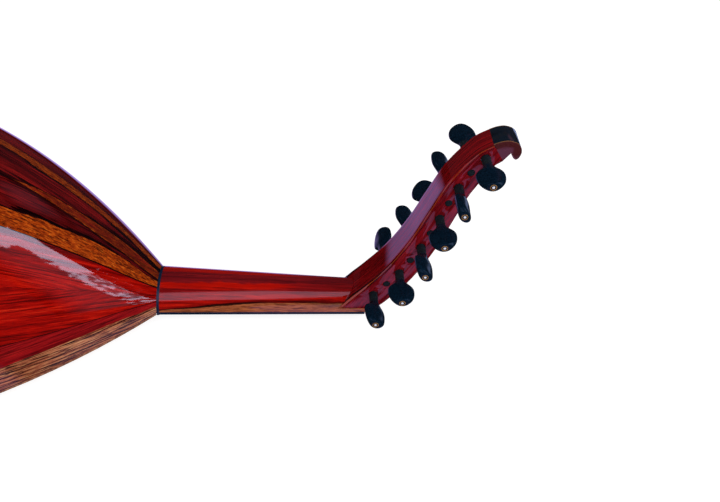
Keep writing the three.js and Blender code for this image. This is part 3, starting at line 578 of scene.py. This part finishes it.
# The wall is crimson, streaked deep under its gloss, the walnut a dull brown with fine pores, the spruce pale
# with straight lines, the ebony a smooth near-black, and the finial blue-black with red-brown sides
woods = {
    "lacqueredPegboxWall": ({
        "rise": -64.9, "streak": (60, 2.4), "fibre": (10, 0.8, 0.4),
        "vein": (40, 1.5, 0.4, 0.5, "#2a0308"),
        "colours": {0.34: "#3c040a", 0.45: "#620810", 0.53: "#7a0b15", 0.62: "#8c141c", 0.7: "#9e1f22"},
    }, lacquer),
    "oiledWalnut": ({
        "turn": 90, "streak": (60, 2.0), "fibre": (9, 0.4, 0.4),
        "colours": {0.3: "#24130b", 0.5: "#54321d", 0.7: "#7a5232"},
    }, oiled),
    "varnishedSpruce": ({
        "streak": (900, 1.3), "fibre": (12, 0.35, 0.3), "wander": 0.1,
        "colours": {0.3: "#a97a45", 0.45: "#cfa367", 0.6: "#dcb67e", 0.75: "#e6c694"},
    }, oiled),
    "polishedEbony": ({
        "streak": (50, 1.5), "fibre": (8, 0.3, 0.5),
        "colours": {0.3: "#051122", 0.55: "#0a1f3a", 0.75: "#122e4e"},
    }, {"bump": 0.1, "shine": {"Roughness": 0.34, "Specular IOR Level": 0.35}}),
    "darkFinialWood": ({
        "streak": (14, 7), "fibre": (8, 0.6, 0.3),
        "colours": {0.4: "#050e18", 0.5: "#0a1a28", 0.62: "#141a22", 0.74: "#301412"},
        "sides": (12.0, "#541613", 0.15, 0.72),  # beyond this half width: colour, softness, strength
        "sideLine": (0.55, "#a4713a", 0.15, 0.85),  # width, colour, softness, strength
    }, {"bump": 0.1, "shine": {
        "Roughness": 0.3, "Specular IOR Level": 0.2, "Coat Weight": 1.0, "Coat Roughness": 0.06}}),
}


# Turned ebony: the head is polished blue-black, the shank is left a matt charcoal
pegFinish = {
    "head": ("#020b16", "#0a1f30"), "shank": ("#10161a", "#20292d"), "headRough": 0.2, "shankRough": 0.55,
    "grain": ((1.2, 1.2), 4.0, 0.2),  # size, detail, wander
    "shine": {"Specular IOR Level": 0.13, "Specular Tint": (0.42, 0.7, 1, 1)},
}
mottleEnds = (0.35, 0.65)  # the noise that a finish's two colours belong to


def makePegWood(look):
    material, tree = newMaterial("turnedEbony")
    onHead = readParts(tree, "onHead")[0]
    grain = addStreaks(tree, millimetres(tree, {}), *look["grain"])
    shank, head = (
        addNode(tree, "ValToRGB", {0: grain, "stops": dict(zip(mottleEnds, look[part]))})[0]
        for part in ("shank", "head")
    )
    colour = addNode(tree, "Mix", {**inColour, 0: onHead, 6: shank, 7: head})[2]
    rough = addNode(tree, "MapRange", {
        "Value": onHead, "To Min": look["shankRough"], "To Max": look["headRough"]})[0]
    shader = addNode(tree, "BsdfPrincipled", {"Base Color": colour, "Roughness": rough, **look["shine"]})
    addNode(tree, "OutputMaterial", {"Surface": shader[0]})
    return material


# Small plain finishes, each a little uneven: creamy bone, pale clear nylon, silver-grey winding, dull golden
# brass, cool white pearl, and a brown rosewood edge. The pattern's size is in millimetres
plainFinishes = {
    "polishedBone": {"colours": ("#d9cda8", "#efe8d2"), "size": 3, "shine": {"Roughness": 0.3}},
    "clearNylon": {"colours": ("#cfc8b4", "#e4dfd0"), "size": 2, "shine": {"Roughness": 0.25}},
    "silveredWinding": {
        "colours": ("#9a9890", "#c4c2ba"), "size": 1, "shine": {"Roughness": 0.3, "Metallic": 1.0}},
    "agedBrass": {
        "colours": ("#96703a", "#c09a5e"), "size": 1.5, "shine": {"Roughness": 0.35, "Metallic": 0.4}},
    "motherOfPearl": {"colours": ("#c8d4ee", "#f0f4fc"), "size": 1, "shine": {"Roughness": 0.15}},
    "paleRosewoodEdge": {"colours": ("#6b3c24", "#a87450"), "size": 2.5, "shine": {"Roughness": 0.4}},
}


def makePlain(name, look):
    material, tree = newMaterial(name)
    place = addNode(tree, "TexCoord", {})["Object"]
    mottle = addNode(tree, "TexNoise", {
        "Vector": place, "Scale": 1 / (look["size"] * mm), "Detail": 3.0})[0]
    colour = addNode(tree, "ValToRGB", {0: mottle, "stops": dict(zip(mottleEnds, look["colours"]))})
    shader = addNode(tree, "BsdfPrincipled", {"Base Color": colour[0], **look["shine"]})
    addNode(tree, "OutputMaterial", {"Surface": shader[0]})
    return material


# Bowl: the rim leaves the neck at an angle and curves to its widest place, as far as its two reaches pull it,
# and the tail is a quarter of an ellipse. Each seam has its degrees round the back far off and at the neck
bowl = {
    "length": 490, "width": 358, "depth": 189, "widest": 275, "neckWidth": 55.6, "neckRise": 24.6,
    "riseEase": 25, "leaveAngle": 47, "sideReach": 116, "shoulderReach": 95, "rimHeight": 2.3,
    "tailHalfWidth": 24, "claspHalfWidth": 42, "staveThickness": 2.8, "claspThickness": 1.6,
    "seams": [(0, 0), (19, 28.5), (43.5, 43.2), (68, 58), (90, 90)], "seamPinch": 55,
}
rimSteps = 400

# Edges of the coloured wood: distances from the neck, and degrees round the back or millimetres
woodEdges = {
    "tanTop": [(0, 18.2), (12, 16.8), (27, 16.3), (42, 15.3), (56, 13.9), (84, 12.6), (110, 11), (480, 9)],
    "goldTop": [
        (0, 69), (14, 74.7), (30, 77.6), (46, 78), (60, 76.7), (74, 75.6), (88, 75.8), (102, 75.2),
        (125, 74.6), (160, 75), (480, 76),
    ],
    "goldTopFar": [
        (0, 74), (18, 72.8), (36, 71.2), (53, 72.9), (86, 73.3), (102, 73.8), (119, 72.6), (480, 73.5),
    ],
    "centreLow": [
        (0, 76), (15, 80.6), (31, 84), (47, 85.2), (63, 86.9), (78, 88.1), (94, 89.4), (112, 90),
        (480, 90.2),
    ],
    "centreHigh": [
        (0, 93.5), (17, 95.2), (34, 95.4), (49, 94.2), (65, 93.4), (80, 93), (95, 92), (109, 90.4),
        (112, 89.8), (480, 89.6),
    ],
    "heartwood": [
        (0, 0.6), (20, 1.2), (30, 2), (46, 3.2), (60, 4.2), (75, 4.8), (90, 5), (103, 4.2), (112, 2.2),
        (122, 1.3), (160, 1), (480, 3),
    ],
    "heartwoodFar": [
        (0, 4.5), (10, 6.5), (18, 7.5), (36, 7), (46, 4.2), (56, 2.9), (70, 2.3), (86, 3.2), (102, 3.8),
        (119, 3), (160, 2.2), (480, 2),
    ],
    "underCentre": [
        (0, 2), (15, 2.5), (47, 3), (57, 1.6), (65, 1.6), (78, 5), (94, 8), (108, 8), (125, 5), (160, 2),
        (480, 1),
    ],
    "overCentre": [
        (0, 6), (34, 6.5), (49, 5), (65, 3), (80, 2), (95, 3.5), (109, 6.5), (125, 5), (160, 2), (480, 1),
    ],
    "darkBand": [(0, -3), (44, -2), (52, 2), (60, 3.8), (75, 4.6), (100, 5.4), (160, 6), (480, 6)],
    "goldFootFar": [(0, 0.3), (30, 1.6), (60, 2.4), (110, 2.4), (480, 2.4)],
}


# Reads a table of rows, held at its first and last
def lookUp(table, at):
    after = min(max(bisect.bisect_right(table, at, key=lambda row: row[0]), 1), len(table) - 1)
    (x0, y0), (x1, y1) = table[after - 1], table[after]
    return y0 + (y1 - y0) * min(max((at - x0) / max(x1 - x0, 1e-9), 0), 1)


def lengthsAlong(points):
    lengths = [0.0]
    for p, q in zip(points, points[1:]):
        lengths.append(lengths[-1] + math.dist(p, q))
    return lengths


def rimLine(shape):
    leave = math.radians(shape["leaveAngle"])
    reach, widest, half = shape["sideReach"], shape["widest"], shape["width"] / 2
    start = (0, shape["neckWidth"] / 2)
    pulls = (
        start, (reach * math.cos(leave), start[1] + reach * math.sin(leave)),
        (widest - shape["shoulderReach"], half), (widest, half),
    )
    points = []
    for step in range(rimSteps + 1):
        t = step / rimSteps
        weights = ((1 - t) ** 3, 3 * (1 - t) ** 2 * t, 3 * (1 - t) * t ** 2, t ** 3)
        points.append(tuple(sum(w * p[axis] for w, p in zip(weights, pulls)) for axis in (0, 1)))
    for step in range(1, rimSteps + 1):
        angle = math.pi / 2 * step / rimSteps
        points.append((widest + (shape["length"] - widest) * math.sin(angle), half * math.cos(angle)))
    return points, lengthsAlong(points)


rimPoints, rimRun = rimLine(bowl)
halfAlongRim = [(run, half) for run, (_, half) in zip(rimRun, rimPoints)]
placeAlongRim = [(run, place) for run, (place, _) in zip(rimRun, rimPoints)]
runAtPlace = [(place, run) for run, place in placeAlongRim]


# Where along the rim the tail has narrowed to a half width
def tailRun(narrow):
    return next(run for run, half in halfAlongRim if run > rimRun[rimSteps] and half <= narrow)


def riseShare(fromNeck):
    full = (bowl["depth"] - bowl["rimHeight"]) / (bowl["width"] / 2)
    atNeck = bowl["neckRise"] / (bowl["neckWidth"] / 2)
    return full - (full - atNeck) * math.exp(-fromNeck / bowl["riseEase"])


# A point of the bowl in millimetres from the joint, and the way outwards there
def backPoint(run, angle):
    fromNeck, half = lookUp(placeAlongRim, run), lookUp(halfAlongRim, run)
    return Vector((
        -fromNeck, -half * math.cos(angle), bowl["rimHeight"] + half * riseShare(fromNeck) * math.sin(angle)
    ))


def outward(run, angle, step=0.5, turn=0.002):
    along = backPoint(run + step, angle) - backPoint(run - step, angle)
    across = backPoint(run, angle + turn) - backPoint(run, angle - turn)
    return across.cross(along).normalized()


def inFrame(point):
    return Vector((jointX, 0, faceZ)) + point * mm


def seamAngle(seam, fromNeck):
    count = (len(bowl["seams"]) - 1) * 2
    away, atNeck = bowl["seams"][min(seam, count - seam)]
    angle = math.radians(away + (atNeck - away) * math.exp(-fromNeck / bowl["seamPinch"]))
    return math.pi - angle if seam * 2 > count else angle


def deselectAll():
    if bpy.context.object and bpy.context.object.mode != "OBJECT":
        bpy.ops.object.mode_set(mode="OBJECT")
    bpy.ops.object.select_all(action="DESELECT")


# Adds a primitive with nothing else selected
def startWith(addShape, **settings):
    deselectAll()
    addShape(**{"location": (0, 0, 0), **settings})
    return bpy.context.object


def takeUp(piece):
    deselectAll()
    piece.select_set(True)
    bpy.context.view_layer.objects.active = piece


# Runs operators of edit mode on the whole of a piece
def editWhole(piece, steps):
    takeUp(piece)
    bpy.ops.object.mode_set(mode="EDIT")
    bpy.ops.mesh.select_all(action="SELECT")
    for operator, settings in steps:
        operator(**settings)
    bpy.ops.object.mode_set(mode="OBJECT")


def applyModifier(piece, kind, settings):
    takeUp(piece)
    modifier = piece.modifiers.new(kind.lower(), kind)
    for name, value in settings.items():
        setattr(modifier, name, value)
    bpy.ops.object.modifier_apply(modifier=modifier.name)


def easeEdges(piece, width, sharp):
    applyModifier(piece, "BEVEL", {
        "width": width * mm, "segments": 2, "limit_method": "ANGLE", "angle_limit": math.radians(sharp)})


# Finishes a piece: smooth but for edges sharper than an angle, named, with its finish and body, and with the
# solids that it stands for hidden
def settle(piece, name, sharp, finish, body, replaced=()):
    takeUp(piece)
    bpy.ops.object.shade_smooth_by_angle(angle=math.radians(sharp))
    piece.name = piece.data.name = name
    piece.data.materials.clear()
    piece.data.materials.append(finish)
    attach(piece, body)
    if replaced:
        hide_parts(*replaced)


# A sheet of the back, laid from a flat grid, between two runs of the rim and two edges round the back
def laySheet(rows, columns, runs, edges, lift):
    sheet = startWith(
        bpy.ops.mesh.primitive_grid_add, x_subdivisions=rows, y_subdivisions=columns, size=1)
    for vertex in sheet.data.vertices:
        along, across = vertex.co.x + 0.5, vertex.co.y + 0.5
        run = runs[0] + (runs[1] - runs[0]) * along
        low, high = edges(lookUp(placeAlongRim, run))
        angle = low + (high - low) * across
        vertex.co = inFrame(backPoint(run, angle) + outward(run, angle) * lift)
    sheet.data.update()
    if sheet.data.polygons[len(sheet.data.polygons) // 2].normal.z < 0:
        editWhole(sheet, [(bpy.ops.mesh.flip_normals, {})])
    return sheet


def vectorAttribute(piece, name, values):
    attribute = piece.data.attributes.new(name, "FLOAT_VECTOR", "POINT")
    attribute.data.foreach_set("vector", [number for value in values for number in value])


# The gold is old and brown from an angle on, in degrees, and the darkest staves are painted darker towards the
# neck: painted shade where they meet it
changes = {"oldFrom": 78.5, "oldRun": 1.5, "neckShadeFrom": 0.6, "black": 0.3, "neckShadeRun": 80}
staveStep = 37.0  # how far apart the staves' grain is taken, so that no two show the same


# Where each point lies in the wood: the grain's own coordinates and the distances to the coloured edges
def markWood(piece, stave, tone, shape):
    marks = []
    for vertex in piece.data.vertices:
        local = (vertex.co - inFrame(Vector())) / mm
        fromNeck = min(max(-local.x, 0), bowl["length"] - 0.01)
        rise = riseShare(fromNeck)
        angle = math.atan2(max(local.z - bowl["rimHeight"], 0) / rise, -local.y)
        reach = max(lookUp(rimPoints, fromNeck), 1) * (1 + rise) / 2
        perDegree = reach * math.pi / 180
        turn = math.degrees(angle)
        mirrored = min(turn, 180 - turn)
        far = "Far" if turn > 90 else ""
        edge = {name: lookUp(table, fromNeck) for name, table in woodEdges.items()}
        middle = (seamAngle(stave, fromNeck) + seamAngle(stave + 1, fromNeck)) / 2
        seams = [(mirrored - math.degrees(seamAngle(seam, fromNeck))) * perDegree for seam in range(1, 4)]
        old = min(max((turn - shape["oldFrom"]) / shape["oldRun"], 0), 1)
        # Painted shade towards the neck, on the darkest staves only
        black = shape["black"] * math.exp(-fromNeck / shape["neckShadeRun"])
        marks.append({
            "grain": (lookUp(runAtPlace, fromNeck), (angle - middle) * reach, stave * staveStep),
            "seams": seams,
            "sapwood": (
                (edge["tanTop"] - mirrored) * perDegree, (edge["goldTop" + far] - mirrored) * perDegree,
                seams[2] + edge["darkBand"]),
            "centre": (
                (turn - edge["centreLow"]) * perDegree, (edge["centreHigh"] - turn) * perDegree,
                seams[2] - (edge["goldFootFar"] if far else 0)),
            "borders": (edge["heartwood" + far], edge["underCentre"], edge["overCentre"]),
            "tones": (tone, old, black if tone > shape["neckShadeFrom"] else 0),
        })
    for name in marks[0]:
        vectorAttribute(piece, name, [mark[name] for mark in marks])


staves = {"rows": 110, "columns": 12, "slit": 0.03, "tones": [0.4, 0.0, 0.0, 0.85, 1.0, 0.8, 0.3, 0.5]}
bowlSharp = 50  # degrees; below it an edge is shaded smooth


def addStaves(shape, finish):
    for number, tone in enumerate(shape["tones"]):
        def edges(fromNeck):
            slit = shape["slit"] / 2 / max(lookUp(rimPoints, fromNeck), 1)
            return (
                seamAngle(number, fromNeck) + (slit if number else 0),
                seamAngle(number + 1, fromNeck) - (slit if number < len(shape["tones"]) - 1 else 0),
            )
        stave = laySheet(shape["rows"], shape["columns"], (0, tailRun(bowl["tailHalfWidth"])), edges, 0)
        applyModifier(stave, "SOLIDIFY", {"thickness": bowl["staveThickness"] * mm, "offset": -1})
        markWood(stave, number, tone, changes)
        settle(stave, f"bentStave_{number + 1}", bowlSharp, finish, rootBody, [f"stave_{number + 1}"])
    print("staves laid")


clasp = {"rows": 24, "columns": 72, "tip": 0.6}


def addClasp(shape, finish):
    runs = (tailRun(bowl["claspHalfWidth"]), rimRun[-1] - shape["tip"])
    thickness = bowl["claspThickness"]
    cap = laySheet(
        shape["rows"], shape["columns"], runs, lambda fromNeck: (0, math.pi), gap + thickness)
    applyModifier(cap, "SOLIDIFY", {"thickness": thickness * mm, "offset": -1})
    settle(cap, "endClasp", bowlSharp, finish, rootBody, ["end_clasp"])
    print("end clasp laid")


# The open side of the pegbox stands a little further from the line of pegs than that of its solids: from
# where off the line, how far the line goes on past its end pegs, and how much further, along the line
openSide = {
    "least": 6, "beyond": 40,
    "wider": [
        (-16, 0), (-12, 0.3), (-2, 1.3), (20, 1.8), (66, 1.9), (104, 1.9), (133, 2.7), (152, 3.4),
        (171, 2.5), (186, 2.1), (194, 1.0), (198, 0),
    ],
}


# A place in the plane of x and z, in millimetres
def inPlane(point):
    return Vector((point[0], point[2])) / mm


pegPlaces = sorted((inPlane(joint["pos_m"]) for joint in frame["joints"]), key=lambda place: place.y)
pegLine = [
    pegPlaces[0] + (pegPlaces[0] - pegPlaces[1]).normalized() * openSide["beyond"], *pegPlaces,
    pegPlaces[-1] + (pegPlaces[-1] - pegPlaces[-2]).normalized() * openSide["beyond"],
]
pegLineRun = lengthsAlong(pegLine)


# How far a point in that plane is off a line, the number of the nearest span, the share of it, and the way off
def nearestOn(line, point):
    found = []
    for number, (start, end) in enumerate(zip(line, line[1:])):
        span = end - start
        share = min(max((point - start).dot(span) / max(span.length_squared, 1e-9), 0), 1)
        way = point - start - span * share
        found.append((way.length, number, share, way))
    return min(found, key=lambda place: place[0])


# What every copy gets: points this near are merged, faces this flat joined and edges this sharp kept, and the
# points within a small slack of a place are moved with it
copying = {"merge": 0.01, "flat": 0.5, "sharp": 35, "slack": 0.05}


# A finished copy of a solid: merged, its edges eased, and shaded smooth
def dressCopy(node, name, finish, shape):
    piece = bpy.data.objects.new(name, nodes[node].data.copy())
    bpy.context.scene.collection.objects.link(piece)
    editWhole(piece, [
        (bpy.ops.mesh.remove_doubles, {"threshold": copying["merge"] * mm}),
        (bpy.ops.mesh.dissolve_limited, {"angle_limit": math.radians(copying["flat"])}),
    ])
    for vertex in piece.data.vertices:
        for old, new in shape.get("moved", ()):
            if abs(vertex.co.x - jointX - old * mm) < copying["slack"] * mm:
                vertex.co.x = jointX + new * mm
        if shape.get("widened"):
            _, span, share, way = nearestOn(pegLine, inPlane(vertex.co))
            along = (pegLine[span + 1] - pegLine[span]).normalized()
            front = Vector((along.y, 0, -along.x))
            if way.dot(front.xz) > openSide["least"]:
                run = pegLineRun[span] + (pegLineRun[span + 1] - pegLineRun[span]) * share
                vertex.co += front * lookUp(openSide["wider"], run - openSide["beyond"]) * mm
    piece.data.transform(Matrix.Translation(Vector(shape.get("shift", (0, 0, 0))) * mm))
    easeEdges(piece, shape["ease"], copying["sharp"])
    settle(piece, name, copying["sharp"], finish, rootBody, [node])


# A smooth curve through points, each span drawn in a number of parts
def smoothPath(points, parts):
    path = []
    for number in range(len(points) - 1):
        p0, p1, p2, p3 = (points[min(max(number + step, 0), len(points) - 1)] for step in (-1, 0, 1, 2))
        for part in range(parts):
            t = part / parts
            path.append(tuple(
                0.5 * (
                    2 * b + (c - a) * t + (2 * a - 5 * b + 4 * c - d) * t ** 2
                    + (3 * b - a - 3 * c + d) * t ** 3
                )
                for a, b, c, d in zip(p0, p1, p2, p3)
            ))
    return path + [points[-1]]


# The plate's foot is straight, its bend is smooth, and its edges are eased
plate = {
    "thickness": 3.0, "footParts": 6, "spanParts": 4, "columns": 10, "ease": 0.35, "easeAngle": 60,
    "sharp": 40, "outerFrom": 2, "cornerSlack": 0.4,
}


# The solid's own corners give the line of its outer face, with the half width at each place
def addBackPlate(shape, finish):
    wallPlaces, corners = (
        {tuple(round(part / mm, 2) for part in (v.co.z, -v.co.x, -v.co.y)) for v in nodes[node].data.vertices}
        for node in ("pegbox_wall_bass", "pegbox_back")
    )
    outer, inner = [], []
    for z, x, half in sorted(corner for corner in corners if corner[2] > 0):
        off = min(math.hypot(x - wallX, z - wallZ) for wallZ, wallX, _ in wallPlaces)
        (outer if off > shape["outerFrom"] else inner).append((-x, z, half))
    parts = shape["footParts"]
    foot = [tuple(a + (b - a) * step / parts for a, b in zip(outer[0], outer[1])) for step in range(parts)]
    path = foot + [outer[1]] + smoothPath(outer[2:], shape["spanParts"])
    rows = len(path) - 1
    piece = startWith(
        bpy.ops.mesh.primitive_grid_add, x_subdivisions=rows, y_subdivisions=shape["columns"], size=1)
    for vertex in piece.data.vertices:
        x, z, half = path[round((vertex.co.x + 0.5) * rows)]
        vertex.co = Vector((x, vertex.co.y * 2 * half, z)) * mm
    piece.data.update()
    applyModifier(piece, "SOLIDIFY", {
        "thickness": shape["thickness"] * mm, "offset": -1, "use_even_offset": True})

    # The inner corner at the foot goes where the solid has it
    line = [Vector(place[:2]) for place in path]
    for vertex in piece.data.vertices:
        off = inPlane(vertex.co) - line[0]
        if 1 < off.length < shape["thickness"] + shape["cornerSlack"] and off.y < -1:
            vertex.co.x, vertex.co.z = inner[0][0] * mm, inner[0][1] * mm
    easeEdges(piece, shape["ease"], shape["easeAngle"])
    run = lengthsAlong(line)
    grain, edge = [], []
    for vertex in piece.data.vertices:
        off, span, share, _ = nearestOn(line, inPlane(vertex.co))
        along = run[span] + share * (run[span + 1] - run[span])
        half = path[span][2] + share * (path[span + 1][2] - path[span][2])
        grain.append((along, vertex.co.y / mm, off))
        edge.append((along, off - half + abs(vertex.co.y) / mm, 0))
    vectorAttribute(piece, "grain", grain)
    vectorAttribute(piece, "plateEdge", edge)
    settle(piece, "pegboxBackPlate", shape["sharp"], finish, rootBody, ["pegbox_back"])


# Pegs, with the rows of a head as shares of its length, half width and half thickness
pegShape = {
    "sides": 24, "shankRadius": 4.1, "tipRadius": 3.2, "wallThickness": 4.5,
    "bassNeck": 12.4, "trebleNeck": 17.4, "headLength": 28, "headWidth": 25, "headThickness": 10.6,
    "head": [
        (0, 0.35, 0.8), (0.06, 0.4, 0.84), (0.12, 0.5, 0.87), (0.19, 0.65, 0.91), (0.26, 0.84, 0.97),
        (0.34, 0.96, 1), (0.44, 1, 0.97), (0.56, 0.99, 0.91), (0.68, 0.95, 0.89), (0.79, 0.87, 0.91),
        (0.88, 0.75, 0.92), (0.95, 0.59, 0.88), (0.985, 0.48, 0.81), (1, 0.38, 0.7),
    ],
    "turns": [39, -57, 2, 34, 48, -24, -11, 37, 59, -6, -8],  # degrees, bass and treble by turns from the nut
    "ease": 0.5, "easeAngle": 50, "sharp": 60,
}


def turnPeg(number, shape, finish):
    near = number % 2 == 0
    name = f"peg_{'bass' if near else 'treble'}_{number // 2 + 1}"
    axis = next(Vector(joint["pos_m"]) for joint in frame["joints"] if joint["child"] == name)
    low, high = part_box(name)
    headStart = (high.y - low.y) / mm - shape["headLength"]
    neck = shape["bassNeck"] if near else shape["trebleNeck"]
    tip, shank = shape["tipRadius"], shape["shankRadius"]
    stations = [
        (0, tip, tip), (headStart - neck - shape["wallThickness"], shank, shank),
        (headStart - shank, shank, shank),
    ] + [
        (headStart + along * shape["headLength"], wide * shape["headWidth"] / 2,
         thick * shape["headThickness"] / 2)
        for along, wide, thick in shape["head"]
    ]
    peg = startWith(
        bpy.ops.mesh.primitive_circle_add, vertices=shape["sides"], radius=mm, fill_type="NGON")
    steps, before = [], (0, 1, 1)
    for along, wide, thick in stations:
        if steps:
            steps.append((bpy.ops.mesh.extrude_region_move, {
                "TRANSFORM_OT_translate": {"value": (0, 0, (along - before[0]) * mm)}}))
        steps.append((bpy.ops.transform.resize, {
            "value": (wide / before[1], thick / before[2], 1), "center_override": (0, 0, along * mm)}))
        before = (along, wide, thick)
    editWhole(peg, steps)
    editWhole(peg, [(bpy.ops.mesh.normals_make_consistent, {"inside": False})])
    easeEdges(peg, shape["ease"], shape["easeAngle"])
    applyModifier(peg, "SUBSURF", {"levels": 1, "render_levels": 1})
    vectorAttribute(peg, "onHead", [
        (min(max((v.co.z / mm - headStart + 1) / 2, 0), 1), 0, 0) for v in peg.data.vertices
    ])

    # It is laid along y, its head outwards and turned round its axis
    turn = math.radians(shape["turns"][number])
    place = Matrix((
        (math.cos(turn), math.sin(turn), 0), (0, 0, -1 if near else 1), (-math.sin(turn), math.cos(turn), 0)
    ))
    start, end = (high.y, low.y) if near else (low.y, high.y)
    peg.data.transform(Matrix.Translation((axis.x, start, axis.z)) @ place.to_4x4())
    if place.determinant() < 0:
        editWhole(peg, [(bpy.ops.mesh.flip_normals, {})])
    settle(peg, f"turned_{name}", shape["sharp"], finish, name, [name])
    return name, (axis.x, end, axis.z)


# The inlaid eye on the end of each head: a brass ring round a low dome of pearl
eye = {"ringRadius": 2.8, "ringWidth": 0.6, "dotRadius": 1.2, "dotRise": 0.35, "sharp": 60}


def inlayEye(name, middle, shape, brass, pearl):
    half = shape["ringWidth"] / 2
    inlays = {
        "Ring": (bpy.ops.mesh.primitive_torus_add, brass, {
            "major_segments": 36, "minor_segments": 10, "minor_radius": half * mm,
            "major_radius": (shape["ringRadius"] - half) * mm}),
        "Pearl": (bpy.ops.mesh.primitive_uv_sphere_add, pearl, {
            "segments": 24, "ring_count": 12, "radius": shape["dotRadius"] * mm,
            "scale": (1, 1, shape["dotRise"])}),
    }
    for part, (addShape, finish, size) in inlays.items():
        inlay = startWith(addShape, location=middle, rotation=(math.pi / 2, 0, 0), **size)
        bpy.ops.object.transform_apply(location=True, rotation=True, scale=True)
        settle(inlay, f"eye{part}_{name}", shape["sharp"], finish, name)


# Making

addCamera(cameraPlace)
addRoom(room)
addFloor(floor)
for lampName, lampSettings in lamps.items():
    addLamp(lampName, lampSettings)
for paneName, paneSettings in panes.items():
    addPane(paneName, paneSettings)
bpy.context.scene.view_settings.view_transform = "Standard"
print("camera, floor and light ready")

finishes = {name: makeWood(name, settings, finish) for name, (settings, finish) in woods.items()}
finishes.update({name: makePlain(name, settings) for name, settings in plainFinishes.items()})
finishes["neck"] = makeNeckWood(neckWood)
finishes["peg"] = makePegWood(pegFinish)

addStaves(staves, makeBowlWood(bowlWood))
addClasp(clasp, finishes["polishedEbony"])

# Solids that keep their shape. Those at the joint are moved along to close it up over its glue line
copies = {
    "neck": ("shapedNeck", "neck", {"ease": 0.25, "moved": [(3.6, 2.5)]}),
    "neck_ring": ("neckRing", "polishedEbony", {"ease": 0.15, "moved": [(0.3, 0.0), (3.3, 2.5)]}),
    "fingerboard": ("fingerboardBlank", "polishedEbony", {"ease": 0.2, "moved": [(3.6, 2.5)]}),
    "pegbox_wall_bass": ("bassWall", "lacqueredPegboxWall", {"ease": 0.4, "widened": True}),
    "pegbox_wall_treble": ("trebleWall", "lacqueredPegboxWall", {"ease": 0.4, "widened": True}),
    "finial": ("curledFinial", "darkFinialWood", {"ease": 0.12, "widened": True, "shift": (-0.5, 0, -0.3)}),
}
for node, (name, finishName, settings) in copies.items():
    dressCopy(node, name, finishes[finishName], settings)
addBackPlate(plate, makePlateWood(plateWood))
print("neck and pegbox dressed")

for number in range(len(pegShape["turns"])):
    pegName, headEnd = turnPeg(number, pegShape, finishes["peg"])
    inlayEye(pegName, headEnd, eye, finishes["agedBrass"], finishes["motherOfPearl"])
print("pegs turned")

plainNodes = {
    "oiledWalnut": ["neck_block", "tail_block", "rosette_", "pickguard", "bridge", "pegbox_heel"],
    "varnishedSpruce": ["soundboard", "brace_"],
    "paleRosewoodEdge": ["edge_binding"],
    "polishedBone": ["nut"],
    "silveredWinding": [f"string_{number}" for number in range(1, 6)],
    "clearNylon": [f"string_{number}" for number in range(6, 12)],
}
for finishName, starts in plainNodes.items():
    for name, node in nodes.items():
        if any(name == start or (start.endswith("_") and name.startswith(start)) for start in starts):
            node.data.materials.clear()
            node.data.materials.append(finishes[finishName])
print("soundboard side finished")
